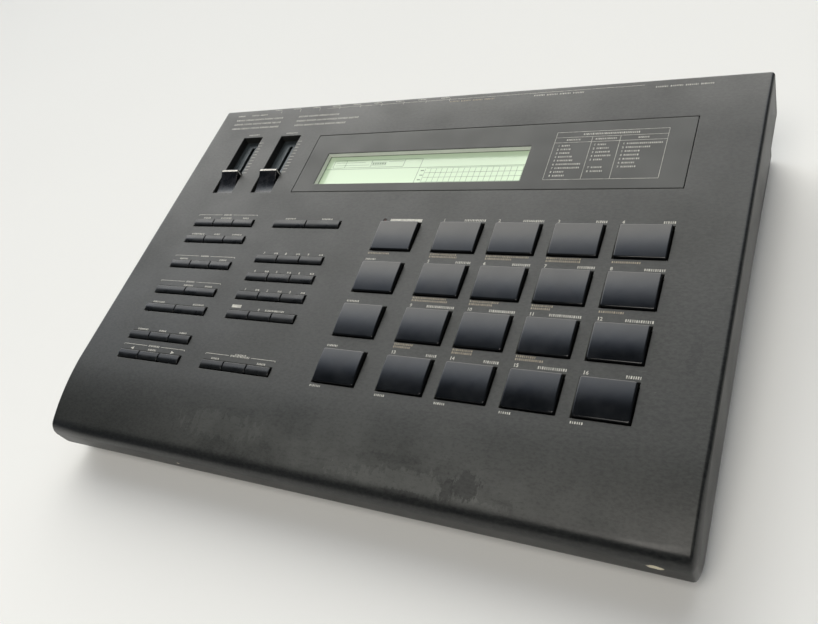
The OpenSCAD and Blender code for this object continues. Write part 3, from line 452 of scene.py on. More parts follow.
polish_and_dark_reflection = add(tree, "Math", {0: nose_edge, 1: side_edge}, operation="MAXIMUM", use_clamp=True)
tone = add(tree, "ValToRGB", {"Fac": clouds(tree, place, 11, 4)},
           stops=((0.3, "#232422"), (0.7, "#2b2c29")))
# Painted light: a greyer cloudy layer over the front, partly wear and partly painted light that
# brightens the rolled front, most in the middle.
front_haze_and_light = clouds(tree, place, 26, 8, roughness=0.72)
tone = layer(tree, tone, "#4b4c49", (front_haze_and_light, 0.38, 0.6, 0.3, 1), front)
smear = clouds(tree, place, 40, 7, (0.5, 2.2, 1), 0.75)
tone = layer(tree, tone, "#2a2b2a", (smear, 0.55, 0.68, 0, 0.5), front)
for spots, colour, ragged, grain in ((rubs, "#62635f", 3.2, 0.25), (scuffs, "#191a19", 2.4, 0.45)):
    for centre, half, share in spots:
        tone = layer(tree, tone, colour, spot(tree, place, centre, half, ragged, grain), share)
# Painted dark reflection: the polished nose and side roundings are darkened in colour where they
# mirror the dark room.
tone = layer(tree, tone, "#121313", polish_and_dark_reflection, 0.9)
scratch = clouds(tree, place, 60, 8, (0.35, 4, 4), 0.8)
tone = layer(tree, tone, "#6c6d69", (scratch, 0.67, 0.74, 0, 0.55),
             (clouds(tree, place, 8, 2), 0.5, 0.62, 0, 1))
fine = clouds(tree, place, 620, 4, (0.7, 1.3, 1), 0.7)
tone = layer(tree, tone, "#41423f", (fine, 0.42, 0.72, 0, 0.4))
tone = layer(tree, tone, "#161716", (fine, 0.5, 0.28, 0, 0.4))
tone = layer(tree, tone, "#a3a39b", (clouds(tree, place, 700, 2), 0.79, 0.84, 0, 0.8),
             (clouds(tree, place, 25, 2), 0.5, 0.6, 0, 1))
for centre, half, share in chips:
    tone = layer(tree, tone, "#d6cdb4", spot(tree, place, centre, half, 0.9, 0.5), share)
tree.links.new(tone, shader.inputs["Base Color"])
dull = mask(tree, (clouds(tree, place, 28, 6), 0.35, 0.7, 0.40, 0.52))
shine = add(tree, "MapRange", {"Value": polish_and_dark_reflection, "To Min": dull, "To Max": 0.3})
tree.links.new(shine, shader.inputs["Roughness"])
fit_piece(case, "case", "case_plastic", case_plastic, "top_case")


def dress(node, material):
    """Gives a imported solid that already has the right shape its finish."""
    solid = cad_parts[node]
    solid.data.materials.clear()
    solid.data.materials.append(material)


# ---- Playing pads ------------------------------------------------------------------------
# Twenty thin-walled caps, moulded in glossy black plastic. Each is level at its rear edge and
# falls ever more steeply to the front. A ledge at each side holds it under the panel.
pad_half = (13.6, 10.5)
pad_corner = 1.1
pad_rise = 2.6
pad_fillet = 0.6
pad_insets = (0.2, 1.2, 2.6, 4.2, 6.0, 8.0)
fall_length, fall_slope = 20.0, (0.0429, 0.3011, -0.1919)
cap_base = -4.8
ledge_top = -3.3
ledge_reach, ledge_corner = 1.95, 0.4
side_start = ledge_top + 0.3


def outline_rings(rings, corner_steps=4, side_steps=8):
    """Rounded rectangles stacked up: one per row (centre x, centre y, half x, half y, corner
    radius, height). A corner point is the corner's centre plus the radius times cos and sin;
    side points are spread evenly between two corners. Runs anticlockwise from +X."""
    cx, cy, hx, hy, radius, z = (column[:, None, None] for column in np.asarray(rings, float).T)
    turn_by = np.linspace(0, math.pi / 2, corner_steps + 1)
    angle = np.arange(4)[:, None] * math.pi / 2 + turn_by
    side_x = np.array([1, -1, -1, 1])[:, None]
    side_y = np.array([1, 1, -1, -1])[:, None]
    arcs = np.stack([cx + side_x * (hx - radius) + radius * np.cos(angle),
                     cy + side_y * (hy - radius) + radius * np.sin(angle)], -1)
    part = np.linspace(0, 1, side_steps + 1)[1:-1, None]
    straights = arcs[:, :, -1:] * (1 - part) + np.roll(arcs[:, :, :1], -1, axis=1) * part
    path = np.concatenate([arcs, straights], 2).reshape(len(cx), -1, 2)
    return np.concatenate([path, np.broadcast_to(z, path.shape[:2] + (1,))], 2)


def ring_faces(points, low_cap=True, high_cap=False, closed=False):
    """Quads between neighbouring rings, and the flat ends as polygons, for a grid of points
    whose rows are rings that run anticlockwise and rise."""
    rows, columns = points.shape[:2]
    number = np.arange(rows * columns).reshape(rows, columns)
    upper = np.roll(number, -1, axis=0) if closed else number[1:]
    lower = number[:len(upper)]
    quads = np.stack([lower, np.roll(lower, -1, 1), np.roll(upper, -1, 1), upper], -1)
    caps = [number[0, ::-1]] * low_cap + [number[-1]] * high_cap
    return points.reshape(-1, 3), quads.reshape(-1, 4), caps


def joined(parts):
    """Several point, quad and cap sets as one, with their numbers shifted."""
    shift = np.cumsum([0] + [len(part[0]) for part in parts])
    return (np.concatenate([part[0] for part in parts]),
            np.concatenate([part[1] + s for part, s in zip(parts, shift)]),
            [cap + s for part, s in zip(parts, shift) for cap in part[2]])


def cap_top(cx, cy, half, corner, rise, fillet, insets):
    """Rows of rings for the upper part of a cap: up the side, round a fillet (in by 1 - cos, up
    by sin), then ever further in until the ring has shrunk to a line."""
    bend = np.linspace(0, math.pi / 2, 5)
    inset = np.concatenate([fillet * (1 - np.cos(bend)), fillet + np.asarray(insets)])
    height = np.concatenate([rise - fillet + fillet * np.sin(bend), rise + 0 * np.asarray(insets)])
    one = np.ones_like(inset)
    return np.stack([cx * one, cy * one, half[0] - inset, half[1] - inset,
                     np.maximum(corner - inset, 0), height], -1)


def pad_fall(part):
    """How far a pad's top lies below its rear edge: the height gained from a slope that grows
    from nothing at the rear, fastest in the middle. Part is 0 at the rear, 1 at the front."""
    first, second, third = fall_slope
    return fall_length * (first * part ** 2 / 2 + second * part ** 3 / 3 + third * part ** 4 / 4)


def pad_cap(cx, cy):
    """One cap: ledge, straight sides, fillet and falling top."""
    ledge = [cx, cy, pad_half[0] + ledge_reach, pad_half[1], ledge_corner]
    foot = [[*ledge, cap_base], [*ledge, ledge_top], [cx, cy, *pad_half, pad_corner, ledge_top],
            [cx, cy, *pad_half, pad_corner, side_start]]
    top = cap_top(cx, cy, pad_half, pad_corner, pad_rise, pad_fillet,
                  [*pad_insets, pad_half[1] - pad_fillet])
    points = outline_rings(np.concatenate([foot, top]), 5, 10)
    part = np.clip((cy + pad_half[1] - points[..., 1]) / (2 * pad_half[1]), 0, 1)
    points[..., 2] -= np.where(points[..., 2] > 0, pad_fall(part), 0)
    return ring_faces(points)


# Black plastic from a polished mould. The eye sees sharp reflections of the room, broken a
# little by dust and by the smudges that fingers leave.
pad_plastic, *_ = finish("pad_plastic", "#0c0d0e", 0.14,
                         tones=((160, 5, (1, 1, 1), 0.65), (0.46, "#0a0b0c"), (0.76, "#161717")),
                         dull=((70, 4), 0.35, 0.7, 0.09, 0.2), relief=((2600, 2), 0.12, 0.00002))

for row, cy in enumerate(pad_rows):
    for column, cx in enumerate(pad_columns):
        node = f"function_pad_{row + 1}" if column == 0 else f"pad_{row * 4 + column}"
        cap = make_piece(f"{node}_cap", *pad_cap(cx, cy), sharp=40)
        fit_piece(cap, node, "pad_plastic", pad_plastic, node)

# ---- Keys --------------------------------------------------------------------------------
# Each row's caps are moulded as one strip on a common web under the panel, in the pads'
# plastic but less polished. Their tops fall away towards the front.
key_half_y = 2.7
key_corner, key_fillet = 0.5, 0.35
key_rise = 1.1
key_insets = (0.15, 0.6, 1.2, 1.8)
key_drop, key_falling, key_bow = 0.7, 0.6, 2.3
key_split = 0.6
key_clear = 0.5
web_over, web_corner = 1.0, 0.5
strips = [(f"left_keys_{i + 1}", left_keys_x, y, 2 if i in (3, 4) else 3)
          for i, y in enumerate(key_row_y(left_key_rows))]
strips += [(f"centre_keys_{i + 1}", centre_keys_x, y, 2 if i == 0 else 3)
           for i, y in enumerate(key_row_y(centre_key_rows))]


def key_caps(caps):
    """Half width of one cap, and the caps' middles from the row's middle."""
    width = (key_opening[0] - 2 * key_clear - (caps - 1) * key_split) / caps
    return width / 2, (np.arange(caps) - (caps - 1) / 2) * (width + key_split)


def key_cap(cx, cy, half_x):
    """One cap over the web: straight sides, fillet, and a top that falls as the 2.3rd power of
    the distance past the level part."""
    half = (half_x, key_half_y)
    foot = [[cx, cy, *half, key_corner, ledge_top], [cx, cy, *half, key_corner, side_start]]
    top = cap_top(cx, cy, half, key_corner, key_rise, key_fillet,
                  [*key_insets, key_half_y - key_fillet])
    points = outline_rings(np.concatenate([foot, top]), 4, 6)
    length = 2 * key_half_y * key_falling
    part = np.clip((cy - key_half_y + length - points[..., 1]) / length, 0, 1)
    points[..., 2] -= np.where(points[..., 2] > 0, key_drop * part ** key_bow, 0)
    return ring_faces(points)


# The same plastic from a duller mould. The eye sees a satin top that fingers have polished here
# and there.
key_plastic, *_ = finish("key_plastic", "#101111", 0.3, Specular_IOR_Level=0.42,
                         tones=((220, 4), (0.4, "#0a0b0b"), (0.75, "#121312")),
                         dull=((90, 3), 0.35, 0.7, 0.24, 0.4), relief=((2600, 2), 0.15, 0.00002))

web_half = (key_opening[0] / 2 + web_over, key_opening[1] / 2 + web_over)
for node, cx, cy, caps in strips:
    half_x, middles = key_caps(caps)
    web = outline_rings([[cx, cy, *web_half, web_corner, z] for z in (cap_base, ledge_top)])
    parts = [ring_faces(web, high_cap=True)] + [key_cap(cx + m, cy, half_x) for m in middles]
    strip = make_piece(f"{node}_strip", *joined(parts), sharp=40)
    fit_piece(strip, node, "key_plastic", key_plastic, node)

# ---- Slide faders ------------------------------------------------------------------------
# Two slide potentiometers, sunk in walled wells. Each knob is one black moulding: a narrow
# ridge with a pale index line let into it, and a hollow ramp for the finger in front of it.
well_floor = -5.6
well_wall = 1.2
well_top = 0.1 - wall
ridge_rest_y = -69.2
ridge_half, ridge_rear = 1.4, 1.9
crest_high, crest_front, crest_rear = 0.5, 0.8, 0.6
knob_half = 7.6
knob_low = -3.9
knob_top = 3.5
knob_middle, knob_reach = np.array([-6.0, 0.0]), np.array([9.4, 3.7])
ramp_length, ramp_foot, ramp_bend = 15.6, -2.0, 1.8
knob_round = 0.4
index_half, index_low, index_proud = 0.45, -1.5, 0.03
index_turn, index_thick = (0.3, 0.35), (0.25, -0.15)
tongue_half, tongue_corner = (1.1, 1.5), 0.2
tongue_low, tongue_high = well_floor - 6, knob_low + 0.4


def well_ring(cx):
    """Four walls under the panel round a fader's opening: a rectangular outline carried down
    outside and up inside."""
    inner = np.array(fader_opening) / 2
    outer = inner + well_wall
    rings = [[cx, fader_mid_y, *inner, 0, well_floor], [cx, fader_mid_y, *inner, 0, well_top],
             [cx, fader_mid_y, *outer, 0, well_top], [cx, fader_mid_y, *outer, 0, well_floor]]
    return ring_faces(outline_rings(rings)[:, ::-1], low_cap=False, closed=True)


def knob_side():
    """Side outline of a knob in y and z, front to rear over the top: a ramp that rises as the
    1.8th power, the rounded crest, the straight rear side and the flat underside."""
    part = np.linspace(0, 1, 20)
    ramp_y = -ridge_half - ramp_length * (1 - part)
    ramp_z = ramp_foot + (knob_top - crest_high - ramp_foot) * part ** ramp_bend
    bend = np.linspace(0.15, 0.5, 6)[:, None] * math.pi
    front = np.concatenate([-np.cos(bend), np.sin(bend)], 1) * (crest_front, crest_high) + \
        (crest_front - ridge_half, knob_top - crest_high)
    back = np.concatenate([np.cos(bend[::-1]), np.sin(bend[::-1])], 1) * (crest_rear, crest_high) \
        + (ridge_half - crest_rear, knob_top - crest_high)
    base = [[ridge_rear, knob_low], [-ridge_half - ramp_length, knob_low]]
    return np.concatenate([np.stack([ramp_y, ramp_z], 1), front, back, base])


def knob_body(cx):
    """The side outline carried across the knob. At both ends it is drawn in towards its own
    middle along a quarter round."""
    bend = np.linspace(0, math.pi / 2, 4)
    near = -knob_half + knob_round * (1 - np.cos(bend))
    pulled = knob_round * (1 - np.sin(bend))
    x = cx + np.concatenate([near, -near[::-1]])
    scale = 1 - np.concatenate([pulled, pulled[::-1]])[:, None] / knob_reach
    shape = knob_middle + (knob_side() - knob_middle) * scale[:, None] + (ridge_rest_y, 0)
    points = np.concatenate([np.broadcast_to(x[:, None, None], shape.shape[:2] + (1,)), shape], 2)
    return ring_faces(points[:, ::-1], high_cap=True)


def index_line(cx):
    """The pale line: a small oblong section carried up one end of the ridge, across the crest
    and down the other end, sunk by its own thickness less a hair."""
    end = -knob_half - index_proud
    out = np.array([[end, index_low], [end, knob_top - index_turn[1]],
                    [index_turn[0] - knob_half, knob_top + index_proud]])
    path = np.concatenate([out, out[::-1] * (-1, 1)])
    inner = np.concatenate([out + index_thick, (out[::-1] + index_thick) * (-1, 1)])
    y = ridge_rest_y + index_half * np.array([1, -1, -1, 1])
    x, z = np.moveaxis(np.stack([path, path, inner, inner], 1), -1, 0)
    return ring_faces(np.stack([cx + x, np.broadcast_to(y, x.shape), z], -1), high_cap=True)


wells = make_piece("fader_wells", *joined([well_ring(x) for x in fader_columns]))
fit_piece(wells, "case", "case_plastic", case_plastic)

# Black plastic from a fine-ground mould. The eye sees a soft shine, greyer where it's dusty.
knob_plastic, *_ = finish("knob_plastic", "#0c0d10", 0.24,
                          tones=((240, 4), (0.45, "#0b0c0f"), (0.8, "#1c1a1d")),
                          dull=((240, 4), 0.3, 0.75, 0.2, 0.36), relief=((3000, 2), 0.15, 0.00002))
# Enamel wiped into a groove. The eye sees a warm white with small dirty flecks.
line_paint, *_ = finish("index_paint", "#d9d4c4", 0.5,
                        tones=((900, 4), (0.35, "#cfcabb"), (0.6, "#f2eee2")))
for node, cx in (("left_fader_knob", fader_columns[0]), ("right_fader_knob", fader_columns[1])):
    knob = make_piece(f"{node}_body", *knob_body(cx))
    fit_piece(knob, node, "black_plastic", knob_plastic, node)
    tongue = outline_rings([[cx, ridge_rest_y, *tongue_half, tongue_corner, z]
                            for z in (tongue_low, tongue_high)])
    stem = make_piece(f"{node}_tongue", *ring_faces(tongue, high_cap=True))
    fit_piece(stem, node, "black_plastic", knob_plastic)
    line = make_piece(f"{node}_index", *index_line(cx))
    fit_piece(line, node, "black_plastic", line_paint)

# Brushed steel gone dull. The eye sees fine streaks that run along the slit.
slider_steel, *_ = finish("slider_plate", "#363c3e", 0.42, 0.5,
                          tones=((1, 4, (900, 60, 200)), (0.3, "#2c3234"), (0.75, "#4e5558")))
dress("slide_faders", slider_steel)

# ---- Display -----------------------------------------------------------------------------
# A plate of smoother grey plastic lies in the case's pocket, with a thin dark gap round it. Its
# opening goes down as a collar to a folded metal frame, which holds the lit glass of the
# display on its board. The glass shows thin grey-green lines, as in a display that's at work.
plate_half = (131.15, 26.75)
plate_low, plate_round, rim_flat = -1.5, 0.18, 0.6
plate_corner, glass_corner, collar_corner = 0.5, 0.3, 0.25
collar_end, collar_wall, lip_low, lip_sunk = -3.55, 0.55, -0.5, 0.02
glass_top = -4.45
segment_low, segment_high = -0.02, 0.02
segment_line, segment_thin = 0.34, 0.8 * 0.34
cell_step = 4.01


def rim_rings(at, half, corner, hole_at, hole_half, hole_corner, radius):
    """Rings over a plate's upper edges: round the outer edge by a quarter circle, across the
    flat, and round the hole's edge. In by 1 - cos and down by 1 - sin of the same angle, with
    one ring more at each side that keeps the flat flat."""
    bend = np.linspace(0, math.pi / 2, 4)
    slip = [*radius * (1 - np.cos(bend)), radius + rim_flat]
    sink = [*-radius * (1 - np.sin(bend)), 0.0]
    outside = [[*at, half[0] - s, half[1] - s, corner, z] for s, z in zip(slip, sink)]
    inside = [[*hole_at, hole_half[0] + s, hole_half[1] + s, hole_corner + s, z]
              for s, z in zip(slip, sink)]
    return outside + inside[::-1]


def flat_marks(rects, low, high):
    """Upright boxes, one for each row (centre x, centre y, size x, size y): the four corners
    at both heights, joined by the same six faces."""
    rects = np.asarray(rects, float)[:, None]
    corner = np.array([[-1, -1], [1, -1], [1, 1], [-1, 1]]) / 2
    xy = np.tile(rects[..., :2] + corner * rects[..., 2:], (1, 2, 1))
    z = np.broadcast_to(np.repeat([low, high], 4)[:, None], xy.shape[:2] + (1,))
    box = np.array([[3, 2, 1, 0], [4, 5, 6, 7], [0, 1, 5, 4], [1, 2, 6, 5], [2, 3, 7, 6],
                    [3, 0, 4, 7]])
    number = 8 * np.arange(len(rects))[:, None, None] + box
    return np.concatenate([xy, z], 2).reshape(-1, 3), number.reshape(-1, 4), []


def stroke(x0, y0, x1, y1, wide):
    """Row of a straight line along x or y between two points."""
    return [[(x0 + x1) / 2, (y0 + y1) / 2, max(abs(x1 - x0), wide), max(abs(y1 - y0), wide)]]


glass_half = (glass_size[0] / 2, glass_size[1] / 2)
collar_half = (glass_half[0] + collar_wall, glass_half[1] + collar_wall)
plate_rings = [[*window_at, *plate_half, plate_corner, plate_low]]
plate_rings += rim_rings(window_at, plate_half, plate_corner, glass_at, glass_half, glass_corner,
                         plate_round)
plate_rings += [[*glass_at, *glass_half, glass_corner, lip_low],
                [*glass_at, *collar_half, glass_corner, lip_low],
                [*glass_at, *collar_half, glass_corner, plate_low]]
plate = make_piece("display_plate", *ring_faces(outline_rings(plate_rings, 3, 6), low_cap=False,
                                                closed=True))
# Satin plastic sheet. The eye sees a calmer, slightly paler grey than the case, without wear.
window_plastic, *_ = finish("window_plastic", "#323332", 0.48, Specular_IOR_Level=0.3,
                            tones=((16, 4), (0.3, "#393a38"), (0.7, "#41423f")),
                            dull=((45, 5), 0.35, 0.7, 0.42, 0.54),
                            relief=((3000, 2), 0.15, 0.00003))
fit_piece(plate, "case", "window_plastic", window_plastic, "display_panel")

# The collar's walls are pale plastic, painted paler still and given a weak painted glow for the
# glass's light that falls on them, so the eye sees a soft grey edge
collar_rings = [[*glass_at, *half, collar_corner, z]
                for half, z in ((glass_half, collar_end), (glass_half, lip_low - lip_sunk),
                                (collar_half, lip_low - lip_sunk), (collar_half, collar_end))]
collar = make_piece("display_collar", *ring_faces(outline_rings(collar_rings, 3, 6)[:, ::-1],
                                                  low_cap=False, closed=True))
# Painted light: the pale colour and the weak glow stand in for the glass's light on the walls.
pale_plastic_painted_glow, *_ = finish("collar_plastic_painted_glow", "#ccccc4", 0.5, Emission_Strength=0.15,
                          Emission_Color=linear("#d8dbd2"),
                          tones=((60, 3), (0.3, "#c6c6be"), (0.7, "#d2d2ca")))
fit_piece(collar, "case", "window_plastic", pale_plastic_painted_glow)

# The glass is lit from behind: the eye sees an even pale green, a little deeper in places
lit_glass, tree, shader, place = finish("lit_glass", "#b9cdb0", 0.12, Emission_Strength=0.10)
glow = add(tree, "ValToRGB", {"Fac": clouds(tree, place, 9, 2)},
           stops=((0.3, "#cfe3c6"), (0.7, "#d9ecd0")))
tree.links.new(glow, shader.inputs["Emission Color"])
dress("lcd_cell", lit_glass)
# Plated sheet steel, dulled by age. The eye sees a quiet grey edge round the glass.
frame_steel, *_ = finish("frame_steel", "#8a8d87", 0.42, 0.3,
                         tones=((300, 3), (0.3, "#80837d"), (0.7, "#959892")))
dress("lcd_frame", frame_steel)

# Lines on the glass: one that halves it, a box with two rows of fields, and a grid of cells.
# Fields are (middle x, y, length) of a thin line.
left, right = glass_at[0] - glass_half[0], glass_at[0] + glass_half[0]
fore = glass_at[1] - glass_half[1]
half_line, line_end = -63.0, 0.5
cell_first, cell_down, cell_end = 1.5, 0.9, 0.3
song_x = (-73.8, -64.0, -43.0, -30.4, -17.0, -3.6)
song_y = (-54.9, -57.1, -59.5, -61.7)
fields = ((-60.4, song_y[1], 24), (-58.4, song_y[2], 28), (-23.7, song_y[1] + 0.4, 12),
          (-36.7, song_y[1] - 0.2, 12), (-36.7, song_y[2] - 0.4, 12))
bar_first, bar_step, bar_down, bar_size = 1.6, 1.9, 1.5, (1.1, 1.5)
block_x, block_shift, block_size = -0.6, 0.4, (2.4, 0.8)
cells_x = np.arange(cell_first, right - 2 * line_end, cell_step)
cells_y = half_line - cell_down - cell_step * np.arange(5)
drawing = stroke(left + line_end, half_line, right - line_end, half_line, segment_line)
drawing += stroke(song_x[5], song_y[0] - line_end, song_x[5], fore + line_end, segment_line)
drawing += stroke(song_x[0], song_y[0], song_x[5], song_y[0], segment_line)
drawing += stroke(song_x[0], song_y[3], song_x[4], song_y[3], segment_line)
drawing += [[x, y, length, segment_thin] for x, y, length in fields]
drawing += [[song_x[2] + bar_first + bar_step * i, song_y[1] - bar_down, *bar_size]
            for i in range(6)]
for x in (song_x[0], song_x[1], song_x[2], song_x[4]):
    drawing += stroke(x, song_y[0] - line_end / 2, x, song_y[3] + line_end / 2, segment_line)
for x in cells_x:
    drawing += stroke(x, cells_y[0] - cell_end, x, fore + cell_end, segment_thin)
for y in cells_y:
    drawing += stroke(cells_x[0] + line_end, y, right - line_end, y, segment_thin)
drawing += [[block_x + block_shift * (i % 2), y - cell_step / 2, *block_size]
            for i, y in enumerate(cells_y[:4])]
segments = make_piece("display_segments", *flat_marks(drawing, glass_top + segment_low,
                                                      glass_top + segment_high))
# Darkened liquid crystal. The eye sees thin grey-green lines, never quite black.
segment_ink, *_ = finish("segment_ink", "#6c806e", 0.5,
                         tones=((120, 2), (0.3, "#62755f"), (0.7, "#778a76")))
fit_piece(segments, "case", "display_glass", segment_ink)

# ---- Run lamp ----------------------------------------------------------------------------
# A small clear lens that stands in a black sleeve at the corner of the first function pad. It
# isn't lit, so the eye sees a dark ring with a smoky, shining dome in it.
sleeve_out, sleeve_in, sleeve_top, sleeve_low = 1.68, 1.2, 0.1, -2.6
sleeve_round, sleeve_shoulder = 0.08, 0.02
lens_r, lens_low, lens_top = 1.15, -10.0, 0.0


def circle_rings(at, rows, steps=6):
    """Rings of circles about one centre, one for each row (radius, height)."""
    return outline_rings([[*at, r, r, r, z] for r, z in rows], steps, 1)


sleeve = circle_rings(lamp_at, [[sleeve_out, sleeve_low], [sleeve_out, sleeve_shoulder],
                                [sleeve_out - sleeve_round, sleeve_top],
                                [sleeve_in + sleeve_round, sleeve_top],
                                [sleeve_in, sleeve_shoulder], [sleeve_in, sleeve_low]])
ring = make_piece("run_lamp_sleeve", *ring_faces(sleeve, low_cap=False, closed=True))
fit_piece(ring, "case", "black_plastic", knob_plastic)
dome = np.linspace(0, math.pi / 2, 7)
lens_rows = [[lens_r, lens_low], *np.stack([lens_r * np.cos(dome), lens_top - lens_r
                                            + lens_r * np.sin(dome)], 1)]
lens = make_piece("run_lamp_lens", *ring_faces(circle_rings(lamp_at, lens_rows)))
# Smoke-red clear plastic. The eye sees a dark bead with one bright glint.
lens_plastic, *_ = finish("lens_plastic", "#4a2a26", 0.08, Transmission_Weight=0.35, IOR=1.5,
                          tones=((900, 2), (0.3, "#4a2a26"), (0.7, "#6a4a44")))
fit_piece(lens, "case", "lamp_lens", lens_plastic, "run_led")

# ---- Print -------------------------------------------------------------------------------
# Screen-printed marks in pale and tan ink, a few hundredths of a millimetre thick: plain
# numbers, lines and brackets, and rows of small neutral blocks as generic print.
ink_low, ink_high = -0.02, 0.025
line_wide, frame_wide = 0.3, 0.25
block_rhythm = (0.6, 0.4, 0.7, 0.5, 0.45)
block_gap = 0.55
block_high, large_high, small_high = 1.25, 1.6, 0.9
digit_size, key_digit_size, table_digit_size = 2.9, 2.4, 1.9
figure_up, key_word_up, key_word_high_up = 3.9, 4.6, 4.7
digit_bold = 0.06
bracket_half, bracket_gap, bracket_end = 27.3, 1.2, 0.9
cap_step = 18.1


def word_marks(x, y, width, side=-1, high=block_high):
    """Rows for a word's blocks, whose widths follow the rhythm. The word starts at x, or ends
    there if side is 1, or has its middle there if side is 0."""
    steps = np.resize(block_rhythm, max(2, round(width / (np.mean(block_rhythm) + block_gap))))
    start = np.concatenate([[0], np.cumsum(steps + block_gap)])[:-1]
    middle = x + start + steps / 2 - (side + 1) / 2 * (start[-1] + steps[-1])
    return np.stack([middle, y + 0 * steps, steps, high + 0 * steps], 1)


def digits(text, x, y, size):
    """A plain number as a closed flat mesh, its left foot at x and y, as points, no quads, and
    polygons."""
    curve = bpy.data.curves.new("digits", "FONT")
    curve.body = text
    curve.size = size
    curve.extrude = (ink_high - ink_low) / 2
    curve.resolution_u = 3
    curve.offset = digit_bold
    holder = bpy.data.objects.new("digits", curve)
    shape = holder.to_mesh()
    points = np.zeros(len(shape.vertices) * 3)
    shape.vertices.foreach_get("co", points)
    faces = [np.array(polygon.vertices) for polygon in shape.polygons]
    holder.to_mesh_clear()
    bpy.data.objects.remove(holder)
    bpy.data.curves.remove(curve)
    return (points.reshape(-1, 3) + (x, y, (ink_high + ink_low) / 2),
            np.zeros((0, 4), int), faces)


def bracket(middle, y, word):
    """Rows of a bracket over keys: two lines with a word between them, and short ends down."""
    rows = list(word_marks(middle, y, word, 0))
    for way in (-1, 1):
        end = middle + way * bracket_half
        rows += stroke(end, y, middle + way * (word / 2 + bracket_gap), y, line_wide)
        rows += stroke(end, y - bracket_end, end, y - line_wide / 2 - 0.02, line_wide)
    return rows


pale, tan, numbers = [], [], []
# Pads: the number at the rear left, a word that ends at the rear right, and tan words in front
pad_words = (13.8, 13.5, 7, 6.6, 9.9, 10.3, 9.9, 10.5, 17.2, 15.4, 17.8, 13.8, 7, 9, 15, 8)
tan_words = (17, 26, 19.5, 15.4, 21.7, 16.8, 12, 12.8, 12, 12, 11, 0, 6, 6, 6, 6)
tan_more = (18, 16.4, 19, 0, 23, 14.5, 10.8, 0, 11, 12, 15, 0, 0, 0, 0, 0)
number_up, word_up, word_end = 1.35, 2.35, 14.1
upper_down, only_down, lower_down = 1.2, 2.2, 3.0
for i in range(16):
    cx, cy = pad_columns[1 + i % 4], pad_rows[i // 4]
    rear_y, front_y, left_x = cy + pad_opening[1] / 2, cy - pad_opening[1] / 2, cx - pad_half[0]
    numbers.append(digits(str(i + 1), left_x, rear_y + number_up, digit_size))
    pale.extend(word_marks(cx + word_end, rear_y + word_up, pad_words[i], 1, large_high))
    low_ink = tan if i < 12 else pale
    if tan_words[i]:
        down = upper_down if tan_more[i] else only_down
        low_ink.extend(word_marks(left_x, front_y - down, tan_words[i]))
    if tan_more[i]:
        low_ink.extend(word_marks(left_x, front_y - lower_down, tan_more[i]))

# The column of four pads: a word behind three of them and one in front of the first and last.
# After it come two solid bars as (x, y, length, height).
column_x = pad_columns[0] - pad_opening[0] / 2
for inks, row, up, width in ((tan, 0, -13.0, 15), (pale, 1, 13.5, 8), (pale, 2, 13.5, 9),
                             (pale, 3, 13.5, 8), (pale, 3, -13.0, 8)):
    inks.extend(word_marks(column_x, pad_rows[row] + up, width))
pale.extend([[6.6, -111.9, 22.6, 2.5], [-90.6, -183.6, 7.6, 2.2]])

# Keys: words over the caps as (x, row on the grid, up, width), figures in the middle column,
# and brackets over groups
left_edges, centre_edges = (x + cap_step * np.arange(-1, 2) for x in (left_keys_x, centre_keys_x))
key_words = [(x, left_key_rows[row], key_word_up, width)
             for row, widths in enumerate(((7, 10, 5), (12, 5, 9), (8, 0, 6), (0, 9, 7),
                                           (11, 0, 10), (10, 7, 7), (0, 8, 0)))
             for x, width in zip(left_edges, widths) if width]
key_words += [(x, 0, key_word_up, 9) for x in (centre_edges[0] + 3, centre_edges[2] - 3)]
figures = [("0", centre_edges[0] + 14, 10)]
for row, first in ((4, 7), (6, 4), (8, 1)):
    for step, x in enumerate(centre_edges):
        figures.append((str(first + step), x - 5, row))
        key_words.append((x + 5.5, row, key_word_high_up, 3.4))
key_words += [(centre_edges[1] + 9, 10, key_word_high_up, 15), (centre_edges[0], 15, 4.5, 6),
              (centre_edges[2], 15, 4.5, 6), (centre_keys_x, 15, 8.6, 9)]
for x, row, up, width in key_words:
    pale.extend(word_marks(x, key_row_y(row) + up, width, 0))
for figure, x, row in figures:
    numbers.append(digits(figure, x, key_row_y(row) + figure_up, key_digit_size))
for middle, y, width in ((left_keys_x, -108.6, 8), (left_keys_x, -145.6, 8),
                         (left_keys_x, -167.4, 8), (left_keys_x, -219.2, 10),
                         (centre_keys_x, -219.0, 15)):
    pale.extend(bracket(middle, y, width))

# Faders: ticks beside each opening, a word behind it
tick_x, tick_half, tick_wide, tick_middle = (9.5, 13.1), 15.1, 0.34, fader_mid_y + 6.6
for cx in fader_columns:
    for y in np.linspace(tick_middle + tick_half, tick_middle - tick_half, 11):
        pale.extend(stroke(cx + tick_x[0], y, cx + tick_x[1], y, tick_wide))
    pale.extend(word_marks(cx - 0.5, -28.9, 10.5, 0))

# Two notes of three lines, and the marks over the sockets along the rear edge: a long line, nine
# ticks with a small word each, and five longer rows of words
note_y, note_step, note_word, note_pace = -11.6, 4.6, 8.2, 9.5
for x, widths in ((-187, (50, 53, 48)), (-125.2, (38, 54, 51))):
    for line, width in enumerate(widths):
        for start in np.arange(0, width - 6, note_pace):
            pale.extend(word_marks(x + start, note_y - note_step * line, note_word, -1, large_high))
socket_x, socket_step = -145.2, 18.2
line_y, tick_y, name_y, name_word, name_pace = -4.6, (-6.2, -3.4), -6.9, 7.4, 8.6
pale.extend(stroke(-102.2, line_y, 131.7, line_y, frame_wide))
for x in socket_x + socket_step * np.arange(9):
    pale.extend(stroke(x, tick_y[0], x, tick_y[1], 0.28))
    pale.extend(word_marks(x - 4, -2.7, 7, 0, small_high))
for x, width, inks in ((-187.7, 9, pale), (-173.8, 17, pale), (1.3, 35, tan), (62, 32, pale),
                       (138.7, 31, pale)):
    for start in np.arange(0, width - 5, name_pace):
        inks.extend(word_marks(x + start, name_y, name_word))

